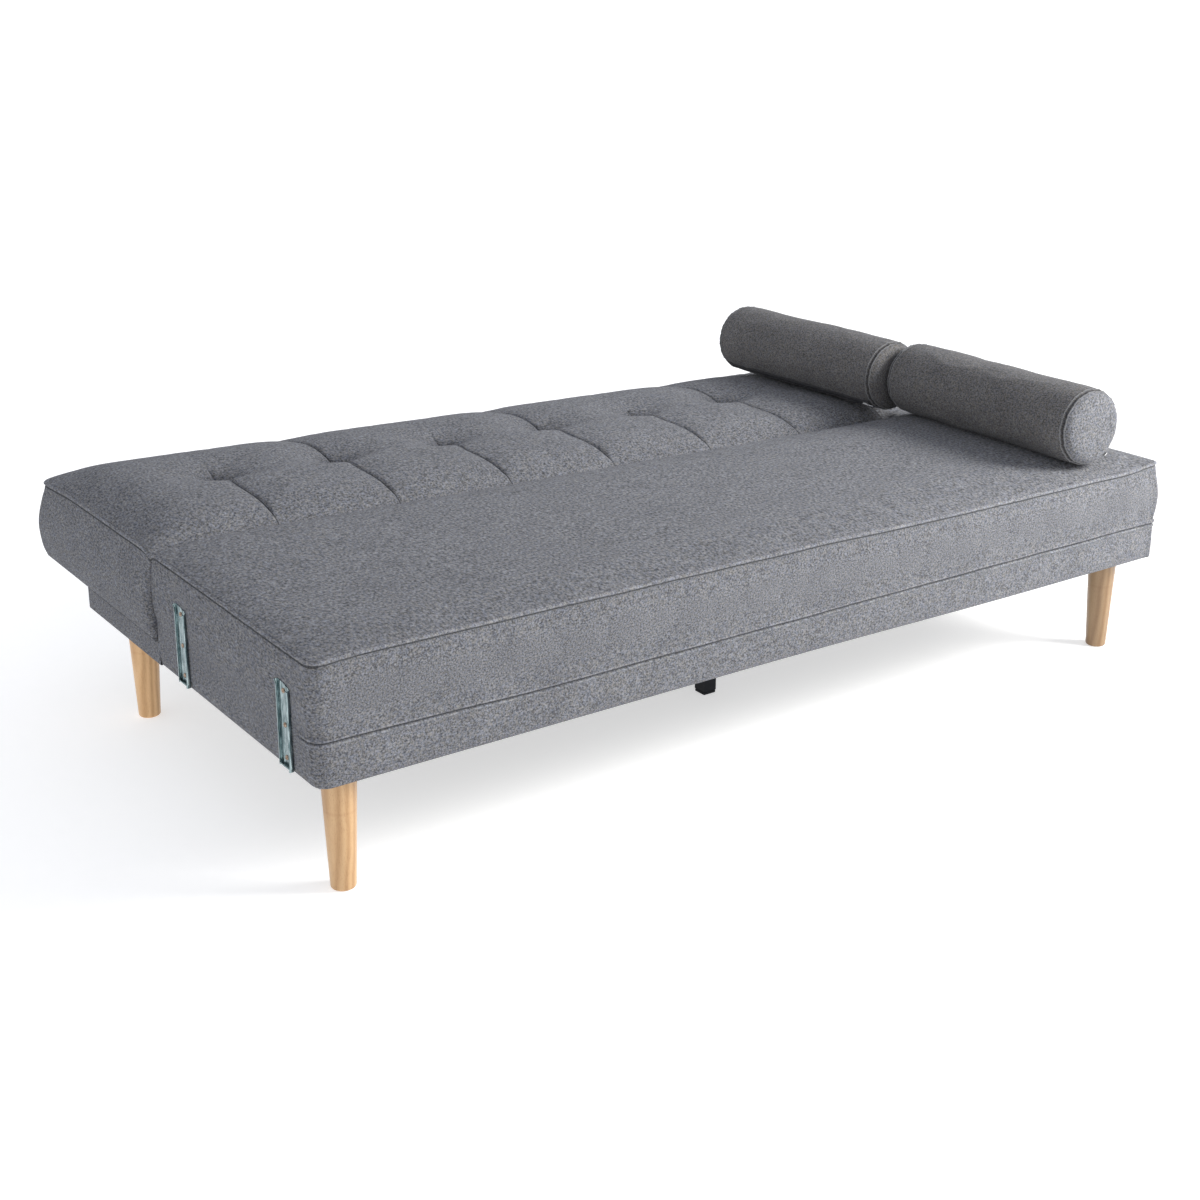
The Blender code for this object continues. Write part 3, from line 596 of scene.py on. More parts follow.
def make_seat():
    xs = edge_steps(-END_X, END_X, 0.006, 0.006, 0.0085)
    ys = edge_steps(FRONT, SEAT_REAR, 0.006, 0.004, 0.0090)
    radii = {(-1, -1): 0.022, (1, -1): 0.010, (-1, 1): HINGE_R, (1, 1): HINGE_R}
    outline = Outline(xs, ys, radii)
    x, y = outline.loop_x, outline.loop_y
    normal_y = outline.normal[:, 1]
    fronting = np.clip(-normal_y, 0, 1)
    ending = np.abs(outline.normal[:, 0])
    full_end = SEAT_END_SWELL * ending * (x > 0)
    seamed = 1 - np.clip(normal_y, 0, 1)
    seam = seam_height(x, y) - seat_dip(y)
    ripple = wobble(x, y, 0 * x, 0.022, 11.0)
    seam = seam + 0.0011 * wobble(x, y, 0 * x, 0.11, 14.0) * fronting
    seam = over_hinge(x, y, seam + EDGE) - EDGE
    rows = seam_rows(seam, seamed, ripple)
    low_seam = np.clip(fronting + ending * smooth((FRONT + 0.062 - y) / 0.030), 0, 1)
    top_of_low = LOW_SEAM_Z + LOW_ROWS[0][0]
    boxing_top = seam + SEAM_ROWS[-1][0]
    steps = 9
    for k in range(1, steps):
        t = k / steps
        height = boxing_top * (1 - t) + top_of_low * t
        bulge = (0.0034 * fronting + 0.0045 * ending) * math.sin(math.pi * t) ** 0.7
        bulge = (bulge + full_end * smooth(t / 0.6)) * bracket_press(x, y, height)
        puff = 0.0005 * wobble(x, y, height, 0.07, 5.0) * seamed
        rows.append((height, seamed * 0.0004 + bulge + puff * bracket_press(x, y, height)))
    lift = 0.006 * smooth((-0.52 - x) / 0.30) + 0.0011 * wobble(x, y, 0 * x, 0.12, 17.0)
    droop = 0.0060 * smooth((x + 0.1) / 0.7)
    low_start = len(rows)
    for drop, out in LOW_ROWS:
        height = LOW_SEAM_Z + lift + drop
        rows.append((height, low_seam * (out + 0.0003 * ripple)
                     + full_end * bracket_press(x, y, height)))
    band_top = LOW_SEAM_Z + LOW_ROWS[-1][0]
    band = 5
    for k in range(1, band):
        t = k / band
        height = (band_top + lift) * (1 - t) + (SEAT_BOTTOM + 0.003 - droop) * t
        bulge = 0.0014 * fronting * math.sin(math.pi * t) - 0.0014 * ending * (x < 0) * t ** 4
        puff = 0.0006 * wobble(x, y, height, 0.06, 8.0) * seamed * bracket_press(x, y, height)
        rows.append((height, bulge + puff + full_end * bracket_press(x, y, height)))
    for height, out, soft in ((0.0030, 0.0, -0.0028), (0.0006, -0.0004, -0.0048),
                              (0.0, -0.0024, -0.0064), (0.0016, -0.0055, -0.0022),
                              (0.0050, -0.0060, -0.0022)):
        rows.append((SEAT_BOTTOM + height - droop,
                     out + soft * ending * (x < 0)
                     + full_end * bracket_press(x, y, 0 * x + SEAT_BOTTOM)))
    bands = {row: (kind, seamed) for row, kind in SEAM_PAINTED_LIGHT_BANDS.items()}
    # Rows 4 and 7 take the darker groove cloth round the ends: painted shade lines along the top seam.
    bands[4] = bands[7] = (3, ending)
    bands.update({low_start + row: (kind, low_seam) for row, kind in LOW_PAINTED_LIGHT_BANDS.items()})
    obj, places, index = cushion("seat_upholstery", outline, seat_top(outline.x, outline.y),
                                 rows, "seat_base", bands)
    boxing = range(len(SEAM_ROWS), low_start)
    band_rows = range(low_start + len(LOW_ROWS), low_start + len(LOW_ROWS) + band - 1)
    free = []
    for row in (*boxing, *band_rows):
        keep = (fronting > 0.6) & (np.abs(x) < END_X - 0.03)
        free += index[row][keep].tolist()
    inside = np.zeros(outline.shape, bool)
    inside[4:-4, 4:-4] = True
    free += np.flatnonzero(inside.ravel()).tolist()
    pinned = sorted(set(range(len(obj.data.vertices))) - set(free))
    inflate(obj, pinned, 1.6, 0.004, 0.0035)
    subdivide(obj)
    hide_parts("seat_cover", "seat_foam")
    strings = [open_run(places[STITCH_ROW], outline.outward, seamed > 0.5),
               open_run(places[low_start + LOW_STITCH], outline.outward, low_seam > 0.5)]
    threads = beads("seat_stitching", strings, THREAD_R, STITCH_LENGTH, THREAD, "seat_base",
                    lift=0.0003)


def open_run(points, normals, keep):
    """The part of a closed row where keep is true, started from its gap, as a string of beads."""
    count = len(keep)
    start = next(k for k in range(count) if keep[k] and not keep[k - 1])
    order = [(start + k) % count for k in range(count)]
    order = [k for k in order if keep[k]]
    return points[order], normals[order], STITCH_PITCH


make_seat()


# ---- backrest -------------------------------------------------------------------------------
BACK_FRONT, REAR, BACK_BOTTOM = BACK_LOW.y, BACK_HIGH.y, BACK_LOW.z
FAR_LOW, FAR_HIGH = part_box("far_bolster_cover")
FAR_CENTRE = (FAR_LOW + FAR_HIGH) / 2
BOLSTER_R = (FAR_HIGH.x - FAR_LOW.x) / 2


def back_dip(y):
    """How far the hinge edge lies below the seam's usual height."""
    return 0.0100 * (1 - rise(y - BACK_FRONT, 0.050, 2.5))


def back_top(x, y):
    ends = rise(END_X - np.abs(x), 0.125)
    far = rise(REAR - y, 0.240, 2.2)
    near = rise(y - BACK_FRONT, 0.170, 3.6)
    z = seam_height(x, y) + EDGE - back_dip(y) + BACK_CROWN * ends * far * near
    carved = 0 * x
    for k, seam in enumerate(SEAMS):
        s = np.abs(x - seam)
        reach = 1.0 if k in FULL_SEAMS else 1 - smooth((y - TUFT_Y - 0.020) / 0.060)
        reach = reach * smooth((y - BACK_FRONT + 0.004) / 0.05)
        valley = (1 - rise(s, PANEL / 2, 2.6)) * 0.0060
        groove = 0.0042 * np.exp(-(s / 0.0013) ** 2)
        carved += (valley + groove) * reach
        dy = y - TUFT_Y
        ry = np.where(dy > 0, 0.050, 0.026)
        q = np.sqrt(((x - seam) / 0.042) ** 2 + (dy / ry) ** 2)
        carved += 0.0220 * np.exp(-q ** 1.5) + 0.0100 * np.exp(-(q * 3.0) ** 2)
        fold = np.cos(np.arctan2(dy, x - seam + 1e-9) * 5 + 1.7 * k)
        fold = fold * np.exp(-((q - 1.0) / 0.5) ** 2)
        lip = np.exp(-((dy + 0.044) / 0.028) ** 2 - ((x - seam) / 0.06) ** 2)
        carved -= 0.0006 * fold + 0.0035 * lip
    z += 0.0009 * wobble(x, y, 0 * x, 0.12, 21.0) * ends
    dx = np.clip(np.abs(x - FAR_CENTRE.x), 0, BOLSTER_R * 0.98)
    limit = FAR_LOW.z - 0.0008 + BOLSTER_R - np.sqrt(BOLSTER_R ** 2 - dx ** 2)
    beside = smooth((FAR_LOW.y - y) / 0.03) + smooth((y - FAR_HIGH.y) / 0.03)
    pressed = (1 - smooth((dx - 0.022) / 0.030)) * np.clip(1 - beside, 0, 1)
    z -= carved * (1 - 0.8 * pressed)
    return over_hinge(x, y, softmin(z, limit + 0.03 * beside, 0.005))


def painted_tuft_shade_mask(x, y):
    """How much shade is painted into the cloth: 1 in the bottom of a pulled tuft, 0 on the open cushion."""
    painted_tuft_shade = 0 * x
    for seam in SEAMS:
        dy = y - TUFT_Y - 0.016
        reach = np.where(dy > 0, 0.024, 0.032)
        painted_tuft_shade += np.exp(-((x - seam) / 0.026) ** 2 - (dy / reach) ** 2)
    return painted_tuft_shade


def make_back():
    marks = [(-END_X, 0.0022), (-END_X + 0.0044, 0.006), (-END_X + 0.022, 0.0085)]
    for seam in SEAMS:
        marks += [(seam - 0.0070, 0.0030), (seam - 0.0040, 0.0031), (seam - 0.0009, 0.0009),
                  (seam, 0.0009), (seam + 0.0009, 0.0031), (seam + 0.0040, 0.0030),
                  (seam + 0.0070, 0.0085)]
    marks += [(END_X - 0.022, 0.006), (END_X - 0.0044, 0.0022), (END_X, 0)]
    ys = spaced((BACK_FRONT, 0.0022), (BACK_FRONT + 0.0044, 0.004), (BACK_FRONT + 0.022, 0.0085),
                (TUFT_Y - 0.04, 0.0055), (TUFT_Y + 0.04, 0.0085), (REAR - 0.022, 0.006),
                (REAR - 0.0044, 0.0022), (REAR, 0))
    outline = Outline(spaced(*marks), ys,
                      {(-1, -1): HINGE_R, (1, -1): HINGE_R, (-1, 1): 0.012, (1, 1): 0.014})
    x, y = outline.loop_x, outline.loop_y
    normal_y = outline.normal[:, 1]
    seamed = 1 - np.clip(-normal_y, 0, 1)
    rear = np.clip(normal_y, 0, 1)
    ending = np.abs(outline.normal[:, 0])
    seam = seam_height(x, y) - back_dip(y)
    for k in FULL_SEAMS:
        seam = seam - 0.0025 * rear * np.exp(-((x - SEAMS[k]) / 0.030) ** 2)
    seam = over_hinge(x, y, seam + EDGE) - EDGE
    ripple = wobble(x, y, 0 * x, 0.022, 31.0)
    rows = seam_rows(seam, seamed, ripple)
    boxing_top = seam + SEAM_ROWS[-1][0]
    steps = 11
    for k in range(1, steps):
        t = k / steps
        height = boxing_top * (1 - t) + (BACK_BOTTOM + 0.004) * t
        bulge = (0.0040 * rear + 0.0100 * ending) * math.sin(math.pi * t) ** 0.6
        bulge = bulge + BACK_END_SWELL * ending * smooth(t / 0.6)
        puff = 0.0008 * wobble(x, y, height, 0.06, 35.0)
        rows.append((height, seamed * (0.0004 + puff) + bulge))
    for height, out in ((0.0040, 0.0), (0.0012, -0.0004), (0.0, -0.0018)):
        rows.append((np.full_like(x, BACK_BOTTOM + height), out + BACK_END_SWELL * ending))
    # The seam lines on top take the darker groove cloth: painted shade in the seam grooves.
    top_kind = np.zeros((outline.shape[0] - 1, outline.shape[1] - 1), int)
    middle_x = (outline.x[:-1, :-1] + outline.x[1:, :-1]) / 2
    middle_y = (outline.y[:-1, :-1] + outline.y[:-1, 1:]) / 2
    for k, seam_x in enumerate(SEAMS):
        stop = 1.0 if k in FULL_SEAMS else TUFT_Y + 0.012
        top_kind[(np.abs(middle_x - seam_x) < 0.0014) & (middle_y < stop)] = 3
    bands = {row: (kind, seamed) for row, kind in SEAM_PAINTED_LIGHT_BANDS.items()}
    # Rows 4 and 7 take the darker groove cloth round the ends: painted shade lines along the top seam.
    bands[4] = bands[7] = (3, ending)
    obj, places, index = cushion("backrest_upholstery", outline,
                                 back_top(outline.x, outline.y), rows, "backrest", bands,
                                 top_kind, BACK_BOTTOM)
    # Painted shade in the tufts, stored on the top grid's points.
    painted_tuft_shade = np.zeros(len(obj.data.vertices))
    painted_tuft_shade[:outline.x.size] = painted_tuft_shade_mask(outline.x, outline.y).ravel()
    obj.data.attributes.new("painted_tuft_shade", "FLOAT", "POINT").data.foreach_set("value", painted_tuft_shade)
    inside = np.zeros(outline.shape, bool)
    inside[4:-4, 4:-4] = True
    held = np.zeros(outline.shape, bool)
    for k, seam_x in enumerate(SEAMS):
        s = np.abs(outline.x - seam_x)
        dy = outline.y - TUFT_Y
        stop = 1.0 if k in FULL_SEAMS else 0.075
        held |= (s < 0.0050) & (dy < stop)
        held |= (s / 0.016) ** 2 + (dy / 0.014) ** 2 < 1
    bolster_gap = np.abs(outline.x - FAR_CENTRE.x)
    held |= (bolster_gap < 0.052) & (outline.y < FAR_HIGH.y + 0.01)
    free = np.flatnonzero((inside & ~held).ravel()).tolist()
    for row in range(len(SEAM_ROWS), len(SEAM_ROWS) + steps - 1):
        free += index[row][(rear > 0.6) & (np.abs(x) < END_X - 0.03)].tolist()
    pinned = sorted(set(range(len(obj.data.vertices))) - set(free))
    inflate(obj, pinned, 1.8, 0.006, 0.0045)
    subdivide(obj)
    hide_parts("back_cover", "back_foam")
    strings = [open_run(places[STITCH_ROW], outline.outward, seamed > 0.5)]
    threads = beads("backrest_stitching", strings, THREAD_R, STITCH_LENGTH, THREAD, "backrest",
                    lift=0.0003)


make_back()


# ---- plinth ---------------------------------------------------------------------------------
def make_plinth():
    """A fabric band on three sides under the backrest, with its hem turned under."""
    start, rear = HINGE.y - 0.0085, PLINTH_HIGH.y
    top, bottom = PLINTH_HIGH.z - 0.0004, PLINTH_LOW.z
    side, radius = END_X - 0.0002, 0.007
    path = [(-side, y, -1, 0) for y in spaced((start, 0.012), (rear - radius, 0))[:-1]]
    for k in range(6):
        a = math.pi - math.pi / 2 * k / 5
        path.append((-side + radius + radius * math.cos(a), rear - radius + radius * math.sin(a),
                     math.cos(a), math.sin(a)))
    path += [(x, rear, 0, 1) for x in spaced((-side + radius, 0.014), (side - radius, 0))[1:-1]]
    path += [(-px, py, -nx, ny) for px, py, nx, ny in reversed(path)
             if px < -side + radius + 1e-6]
    x, y, nx, ny = np.array(path).T
    rows = [(top - 0.0030, -0.030), (top - 0.0004, -0.012), (top, -0.0020),
            (top - 0.0010, -0.0004), (top - 0.0085, 0.0)]
    rows += [(top + (bottom - top) * t, 0.0) for t in (0.22, 0.36, 0.50, 0.64, 0.78, 0.90)]
    rows += [(bottom + 0.0022, 0.0), (bottom + 0.0004, -0.0005), (bottom, -0.0026),
             (bottom + 0.0018, -0.0060), (bottom + 0.0060, -0.0064)]
    vertices, faces, kinds = [], [], []
    width = len(path)
    calm = smooth((y - HINGE.y) / 0.05)
    for height, out in rows:
        puff = 0.0007 * wobble(x, y, height + 0 * x, 0.05, 41.0) * calm * (out == 0.0)
        reach = out + puff
        vertices.append(np.stack((x + nx * reach, y + ny * reach, height + 0 * x), -1))
    for r in range(len(rows) - 1):
        for k in range(width - 1):
            a, b = r * width + k, (r + 1) * width + k
            faces.append((a + 1, b + 1, b, a))
            # The top four rows take the darker groove cloth: painted shade under the backrest's overhang.
            kinds.append(1 if r < 4 else 0)
    obj = add_object("plinth_upholstery", np.concatenate(vertices), faces,
                     (FABRIC_SIDE, FABRIC_GROOVE_SHADE), "seat_base", kinds)
    mod = obj.modifiers.new("fabric", "SOLIDIFY")
    mod.thickness, mod.offset = 0.0014, -1
    subdivide(obj)
    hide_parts("plinth_cover")


make_plinth()


# ---- bolsters -------------------------------------------------------------------------------
def make_bolster(label, body, yaw, zip_side, seed, cap_fabric):
    """A stuffed cylinder along +Y with domed caps, ring seams and a zip along its lower side."""
    low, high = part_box(f"{label}_bolster_core")
    centre = (low + high) / 2
    half = BOLSTER_LENGTH / 2
    radius = BOLSTER_R
    axis = Vector((-math.sin(yaw), math.cos(yaw), 0))
    across = Vector((math.cos(yaw), math.sin(yaw), 0))
    up = Vector((0, 0, 1))
    seam_y = half - 0.0165
    segments = 112
    profile = [(0.0, half - 0.0005)]
    for r in (0.10, 0.22, 0.34, 0.46, 0.58, 0.69, 0.78):
        profile.append((radius * r, half - 0.0065 * r ** 3.2))
    rounding = ((0.855, 0.0058), (0.905, 0.0090), (0.936, 0.0124), (0.950, 0.0146),
                (0.946, 0.0166), (0.962, 0.0182), (0.978, 0.0210), (0.988, 0.0245),
                (0.990, 0.0270), (0.996, 0.0310), (1.002, 0.0370), (1.006, 0.0440))
    profile += [(radius * r, half - y) for r, y in rounding]
    body_start = half - 0.0500
    count = 40
    run = [(radius * 1.012, body_start * (1 - 2 * k / count)) for k in range(count + 1)]
    profile = profile + run + [(r, -y) for r, y in reversed(profile)]
    radii = np.array([r for r, _ in profile[1:-1]])
    places = np.array([y for _, y in profile[1:-1]])
    angle = 2 * math.pi * np.arange(segments) / segments
    grid_r, grid_a = np.meshgrid(radii, angle, indexing="ij")
    grid_y = np.repeat(places[:, None], segments, 1)
    sin_a, cos_a = np.sin(grid_a), np.cos(grid_a)
    to_seam = np.abs(np.abs(grid_y) - seam_y)
    pucker = np.cos(grid_a * 31 + 2.2 * np.sin(grid_a * 3 + seed)) * 0.5
    pucker += np.cos(grid_a * 47 + seed) * 0.3 + np.cos(grid_a * 13 + 2 * seed) * 0.35
    out = 0.0013 * pucker * np.exp(-np.maximum(to_seam - 0.003, 0) / 0.012)
    lumps = wobble(grid_y, sin_a * radius, cos_a * radius, 0.095, seed)
    folds = wobble(grid_y * 0.35, sin_a * radius, cos_a * radius, 0.030, seed + 4)
    full = rise(np.abs(np.abs(grid_y) - half), 0.12)
    out += 0.0014 * lumps * full + 0.0006 * folds * full - 0.0010 * full
    on_side = grid_r / radius
    distance = grid_r + out * on_side
    cap_bump = (1 - on_side ** 2) * 0.0016 * wobble(sin_a * grid_r, cos_a * grid_r, grid_y,
                                                   0.030, seed + 9)
    shifted = grid_y + np.sign(grid_y) * cap_bump * (np.abs(grid_y) > half - 0.007)
    dx, dz = sin_a * distance, -cos_a * distance
    floor = -radius + 0.0010
    dz = -softmin(-dz, np.full_like(dz, -floor), 0.003)
    ring = (np.array(centre)[None, None, :] + dx[..., None] * np.array(across)
            + shifted[..., None] * np.array(axis) + dz[..., None] * np.array(up))
    tip = np.array([centre + axis * profile[0][1], centre + axis * profile[-1][1]])
    vertices = np.concatenate((ring.reshape(-1, 3), tip))
    rings = len(radii)
    side_rings = range(11, rings - 12)
    # These rows beside the ring seams take the darker ring cloth: painted shade.
    ring_shade_rows = (10, 11, rings - 12, rings - 13)
    faces = [quad[::-1] for quad in lathe_faces(rings, segments)]
    kinds = []
    for r in range(rings - 1):
        kinds += [2 if r in ring_shade_rows else 0 if r in side_rings else 1] * segments
    for k in range(segments):
        n = (k + 1) % segments
        faces.append((rings * segments, k, n))
        last = (rings - 1) * segments
        faces.append((rings * segments + 1, last + n, last + k))
        kinds += [1, 1]
    obj = add_object(f"{label}_bolster_fabric", vertices, faces,
                     (FABRIC_BOLSTER_SHADED, cap_fabric, FABRIC_RING_SHADE), body, kinds)
    held = 23                     # rings from each tip that the cap's seam keeps still
    pinned = [r * segments + k for r in range(rings) if r < held or r >= rings - held
              for k in range(segments)]
    resting = np.argwhere(-cos_a < -0.93)
    pinned += [int(r * segments + k) for r, k in resting]
    pinned += [rings * segments, rings * segments + 1]
    inflate(obj, sorted(set(pinned)), 1.2, 0.006, 0.0009, frames=12)
    subdivide(obj)
    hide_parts(f"{label}_bolster_cover", f"{label}_bolster_core")
    strings = []
    for row in (9, 13, rings - 10, rings - 14):
        points = ring[row]
        outward = points - np.array(centre + axis * float(places[row] * 0.93))
        closed = np.concatenate((points, points[:1]))
        strings.append((closed, np.concatenate((outward, outward[:1])), 0.0036))
    threads = beads(f"{label}_bolster_ring_stitching", strings, 0.0009, 0.0033, ROPE, body,
                    lift=0.0004)
    make_zip(label, body, centre, axis, across, zip_side)


def make_zip(label, body, centre, axis, across, zip_side):
    """Two woven tapes sewn along the cover, and the nylon coil teeth between them."""
    lean = math.radians(40)
    outward = across * (zip_side * math.sin(lean)) - Vector((0, 0, 1)) * math.cos(lean)
    tangent = axis.cross(outward)
    steps = 88
    across_tape = ((0.0010, 0.0002), (0.0016, 0.0010), (0.0060, 0.0011), (0.0105, 0.0008),
                   (0.0112, -0.0004))
    wide = len(across_tape)
    vertices, faces = [], []
    for sign in (-1, 1):
        start = len(vertices)
        for k in range(steps + 1):
            along = -ZIP_HALF + 2 * ZIP_HALF * k / steps
            for offset, lift in across_tape:
                sink = BOLSTER_R - math.sqrt(BOLSTER_R ** 2 - offset ** 2)
                spot = centre + axis * along + tangent * (sign * offset)
                vertices.append(spot + outward * (BOLSTER_R - sink + lift))
        for k in range(steps):
            for c in range(wide - 1):
                a = start + k * wide + c
                quad = (a, a + 1, a + wide + 1, a + wide)
                faces.append(quad if sign > 0 else quad[::-1])
    tape = add_object(f"{label}_zip_tape", vertices, faces, (ZIP_TAPE,), body)
    mod = tape.modifiers.new("fabric", "SOLIDIFY")
    mod.thickness, mod.offset = 0.0008, -1
    line = [centre + outward * (BOLSTER_R + 0.0002) + axis * a for a in (-ZIP_HALF, ZIP_HALF)]
    strings = [([p + tangent * s for p in line], [outward, outward], 0.0015)
               for s in (-0.0009, 0.0009)]
    teeth = beads(f"{label}_zip_teeth", strings, 0.0007, 0.0011, NYLON, body, sides=5)


ZIP_TAPE = melange("zip_tape", (0.030, 0.030, 0.032), (0.070, 0.070, 0.074),
                   (500.0, 500.0, 500.0), BOLSTER_WEAVE)
make_bolster("near", "near_bolster", math.radians(-3), 1, 1.0, FABRIC_CAP)
# The far bolster's caps take the shaded bolster cloth instead of the seat-coloured cap cloth: painted shade on its
# caps.
make_bolster("far", "far_bolster", 0.0, -1, 7.0, FABRIC_BOLSTER_SHADED)


# ---- legs -----------------------------------------------------------------------------------
def make_leg(where):
    low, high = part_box(f"leg_{where}")
    centre = (low + high) / 2
    top_r = (high.x - low.x) / 2
    bottom_r, edge = 0.0195, 0.0042
    profile = [(0.0, 0.0003), (bottom_r - edge, 0.0)]
    profile += [(bottom_r - edge + edge * math.sin(a), edge - edge * math.cos(a))
                for a in (math.pi / 8 * k for k in range(1, 4))]
    tall = high.z - 0.0012
    profile += [(bottom_r + (top_r - bottom_r) * t, edge + (tall - edge) * t)
                for t in (0.0, 0.02, 0.1, 0.25, 0.4, 0.55, 0.7, 0.85, 0.96, 1.0)]
    profile += [(top_r - 0.0006, high.z - 0.0002), (top_r - 0.0016, high.z), (0.0, high.z)]
    segments = 64
    vertices = [Vector((centre.x, centre.y, profile[0][1])),
                Vector((centre.x, centre.y, profile[-1][1]))]
    for r, z in profile[1:-1]:
        for k in range(segments):
            a = 2 * math.pi * k / segments
            vertices.append(Vector((centre.x + r * math.cos(a), centre.y + r * math.sin(a), z)))
    rings = len(profile) - 2
    last = 2 + (rings - 1) * segments
    faces = lathe_faces(rings, segments, 2)
    for k in range(segments):
        n = (k + 1) % segments
        faces += [(0, 2 + n, 2 + k), (1, last + k, last + n)]
    obj = add_object(f"leg_{where}_turned", vertices, faces, (BEECH[where],), "seat_base")
    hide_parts(f"leg_{where}")


for end in ("front", "rear"):
    for side in ("left", "right"):
        make_leg(f"{end}_{side}")


# ---- arm brackets ---------------------------------------------------------------------------
def bracket_section(deep, half):
    """The channel's outer side from its rear lip to its front lip: (out from the wall, along Y)."""
    bend, lip, rib_y = 0.0015, 0.0038, 0.0090
    quarter = [math.pi / 8 * k for k in range(5)]
    rear = [(deep, half - lip)]
    rear += [(deep - bend * (1 - math.cos(a)), half - bend * (1 - math.sin(a))) for a in quarter]
    rear += [(bend * (1 - math.sin(a)), half - bend * (1 - math.cos(a))) for a in quarter]
    for y in np.linspace(half - bend - 0.0012, 0, 14):
        rear.append((0.0008 * math.exp(-((y - rib_y) / 0.0020) ** 2), y))
    return np.array(rear + [(d, -y) for d, y in reversed(rear[:-1])])


def make_bracket(where):
    """A pressed channel with rounded bends and two ribs. Its rear lip flares at the top to guide
    the armrest in, its front lip starts lower, and a bent stop closes the bottom."""
    low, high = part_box(f"arm_bracket_{where}")
    side = 1 if low.x > 0 else -1
    wall = min(abs(low.x), abs(high.x))
    deep = (high.x - low.x) * 0.72
    mid_y, half = (low.y + high.y) / 2, (high.y - low.y) / 2
    thick = 0.0016
    spots = bracket_section(deep, half)
    tangent = np.gradient(spots, axis=0)
    inward = np.stack((-tangent[:, 1], tangent[:, 0]), -1)
    inward /= np.linalg.norm(inward, axis=1, keepdims=True)
    if inward[len(spots) // 2, 0] < 0:
        inward = -inward
    rear_lip = smooth((spots[:, 0] / deep - 0.3) / 0.6) * (spots[:, 1] > 0)
    front_lip = smooth((spots[:, 0] / deep - 0.3) / 0.6) * (spots[:, 1] < 0)
    slant = np.clip((half - spots[:, 1]) / (2 * half), 0, 1)
    top = high.z - 0.0003 - 0.0060 * slant ** 2 - 0.0035 * front_lip
    bottom = low.z + 0.0003
    levels = spaced((0.0, 0.015), (0.06, 0.10), (0.90, 0.0125), (1.0, 0))
    vertices, faces = [], []
    width = len(spots)
    for level in levels:
        z = bottom + (top - bottom) * level
        ear = smooth((level - 0.93) / 0.07) * rear_lip
        curl = smooth((0.05 - level) / 0.05) * front_lip
        d = spots[:, 0] + 0.0014 * ear + 0.0014 * curl
        y = spots[:, 1] + 0.0008 * ear - 0.0008 * curl
        for sheet in (0, 1):
            for k in range(width):
                vertices.append((side * (wall + d[k] + inward[k, 0] * thick * sheet),
                                 mid_y + y[k] + inward[k, 1] * thick * sheet, z[k]))
    for r in range(len(levels) - 1):
        a, b = 2 * width * r, 2 * width * (r + 1)
        for k in range(width - 1):
            faces.append((a + k, a + k + 1, b + k + 1, b + k))
            c, e = a + width, b + width
            faces.append((c + k + 1, c + k, e + k, e + k + 1))
        for k in (0, width - 1):
            faces.append((a + k, b + k, b + width + k, a + width + k))
    last = 2 * width * (len(levels) - 1)
    for k in range(width - 1):
        faces.append((k + 1, k, width + k, width + k + 1))
        faces.append((last + k, last + k + 1, last + width + k + 1, last + width + k))
    bm = bmesh.new()
    made = [bm.verts.new(v) for v in vertices]
    for face in faces:
        bm.faces.new([made[i] for i in face])
    stop = Vector((deep - 0.0006, 2 * half - 0.0030, 0.0020))
    place = Vector((side * (wall + 0.0004 + deep / 2), mid_y, low.z + 0.0011))
    cube = bmesh.ops.create_cube(bm, size=1.0)["verts"]
    bmesh.ops.scale(bm, vec=stop, verts=cube)
    for vert in cube:
        if vert.co.x * side > 0:
            vert.co.z += 0.0022
    bmesh.ops.translate(bm, vec=place, verts=cube)
    bmesh.ops.recalc_face_normals(bm, faces=bm.faces)
    mesh = bpy.data.meshes.new(f"arm_bracket_{where}_pressed")
    bm.to_mesh(mesh)
    bm.free()
    mesh.materials.append(ZINC)
    mesh.shade_smooth()
    mesh.set_sharp_from_angle(angle=math.radians(40))
    obj = link(mesh.name, mesh)
    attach(obj, "seat_base")
    mod = obj.modifiers.new("edges", "BEVEL")
    mod.width, mod.segments, mod.limit_method = 0.0003, 2, "ANGLE"
    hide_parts(f"arm_bracket_{where}")


def make_screw(node):
    """A pan-head screw with a cross recess."""
    low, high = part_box(node)
    side = 1 if low.x > 0 else -1
    outer = high.x if side > 0 else low.x
    head = abs(outer) - 0.0018
    centre = (low + high) / 2
    radius, depth = (high.z - low.z) / 2, 0.0019
    segments, rings = 40, 14
    vertices = [Vector((side * (head + 0.0004), centre.y, centre.z))]
    for r in range(1, rings + 1):
        t = r / rings
        for k in range(segments):
            a = 2 * math.pi * k / segments
            u, v = t * math.cos(a), t * math.sin(a)
            dome = depth * (1 - t ** 3.0) + 0.0001
            arm = 0.13 if t < 0.62 else 0.0
            cross = min(abs(u), abs(v))
            cut = 1.0 if cross < arm else max(0.0, 1 - (cross - arm) / 0.06) if arm else 0.0
            high_out = max(dome - 0.0012 * cut * (1.1 - t), 0.0)
            vertices.append(Vector((side * (head + high_out), centre.y + u * radius,
                                    centre.z + v * radius)))
    for k in range(segments):
        vertices.append(Vector((side * (head - 0.0007),
                                *(centre.yz + (vertices[1 + (rings - 1) * segments + k].yz
                                               - centre.yz)))))
    faces = [quad[::-1] for quad in lathe_faces(rings + 1, segments, 1)]
    faces += [(0, 1 + k, 1 + (k + 1) % segments) for k in range(segments)]
    if side < 0:
        faces = [face[::-1] for face in faces]
    obj = add_object(f"{node}_head", vertices, faces, (SCREW,), "seat_base")
    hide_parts(node)


for side in ("left", "right"):
    for end in ("front", "rear"):
        make_bracket(f"{side}_{end}")
for node in NODES:
    if node.startswith("screw_"):
        make_screw(node)


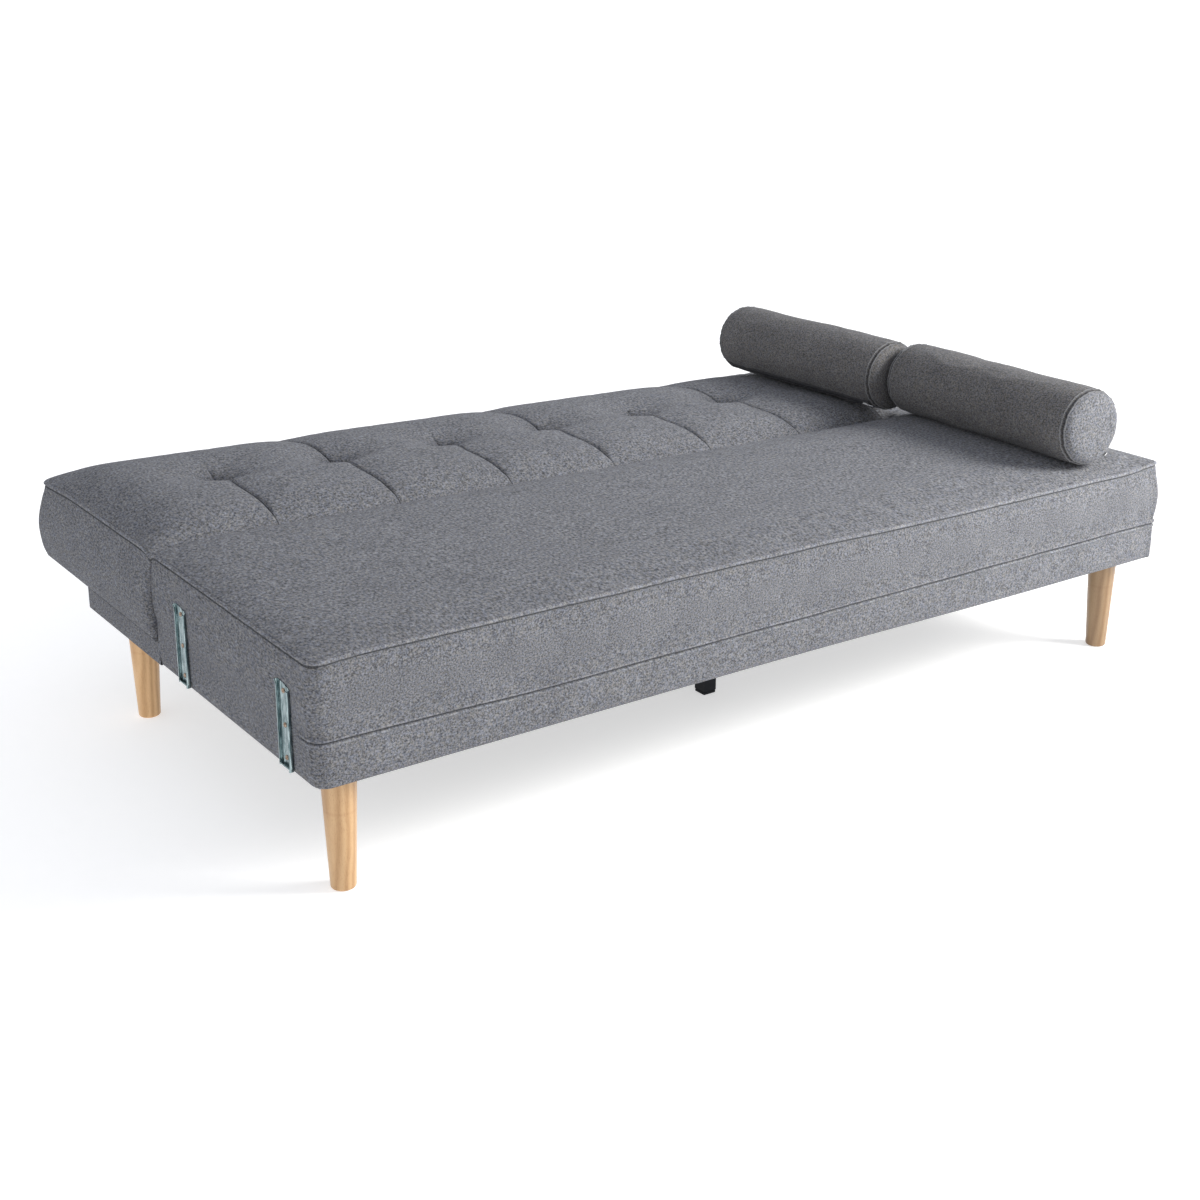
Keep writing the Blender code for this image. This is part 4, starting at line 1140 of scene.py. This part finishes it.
# ---- carried-over CAD nodes -----------------------------------------------------------------
SLOT_MATERIALS = {
    "upholstery_fabric": FABRIC_SIDE, "bolster_fabric": FABRIC_BOLSTER_SHADED, "foam": FOAM,
    "dust_lining": LINING, "leg_wood": BEECH["front_left"], "plywood": PLY, "pine": PINE,
    "black_steel": BLACK, "nylon": NYLON, "zinc_steel": ZINC, "screw_steel": SCREW,
    "zip_metal": NICKEL,
}
for part in frame["record"]["subparts"]:
    node = NODES[part["node"]]
    for material_slot in node.material_slots:
        material_slot.material = SLOT_MATERIALS[part["material_slot"]]


# ---- floor, light and camera ----------------------------------------------------------------
def make_floor():
    n = Nodes("floor")
    paper = n.noise(40.0, 3.0)
    tint = n.ramp(paper, ((0.3, (0.66, 0.66, 0.66)), (0.7, (0.69, 0.69, 0.69))))
    material = n.finish(tint, 0.8, Emission_Color=(1.0, 1.0, 1.0, 1.0), Emission_Strength=0.56)
    mesh = bpy.data.meshes.new("floor")
    size = 30.0
    mesh.from_pydata([(-size, -size, 0), (size, -size, 0), (size, size, 0), (-size, size, 0)],
                     [], [(0, 1, 2, 3)])
    mesh.materials.append(material)
    floor = link("floor", mesh)


def area_light(name, place, target, size, power, colour=(1, 1, 1)):
    data = bpy.data.lights.new(name, "AREA")
    data.shape, data.size, data.size_y = "RECTANGLE", size[0], size[1]
    data.energy, data.color = power, colour
    lamp = link(name, data)
    lamp.location = place
    lamp.rotation_mode = "QUATERNION"
    lamp.rotation_quaternion = (Vector(target) - Vector(place)).to_track_quat("-Z", "Y")


make_floor()
area_light("key", (2.4, -2.2, 2.05), (0.1, -0.1, 0.3), (1.3, 1.3), 182, (1.0, 0.99, 0.96))
world = bpy.data.worlds.new("studio")
world.use_nodes = True
sky = world.node_tree
direction = sky.nodes.new("ShaderNodeTexCoord").outputs["Generated"]
split = sky.nodes.new("ShaderNodeSeparateXYZ")
fade = sky.nodes.new("ShaderNodeValToRGB")
for stop, place, colour in ((0, 0.12, (1.0, 1.0, 1.0, 1)), (1, 0.85, (0.42, 0.44, 0.49, 1))):
    fade.color_ramp.elements[stop].position = place
    fade.color_ramp.elements[stop].color = colour
sky.links.new(direction, split.inputs["Vector"])
sky.links.new(split.outputs["Z"], fade.inputs["Fac"])
sky.links.new(fade.outputs["Color"], sky.nodes["Background"].inputs["Color"])
sky.nodes["Background"].inputs["Strength"].default_value = 1.2
bpy.context.scene.world = world
bpy.context.scene.view_settings.view_transform = "Standard"

camera_data = bpy.data.cameras.new("camera")
camera_data.lens = 53.29
camera_data.sensor_width = 36.0
camera_data.shift_x, camera_data.shift_y = -0.00325, -0.0833
camera = link("camera", camera_data)
camera.location = (-1.8728, -2.6284, 1.316)
camera.rotation_euler = (math.radians(90 - 17.08), 0.0, math.radians(-35.23))
bpy.context.scene.camera = camera
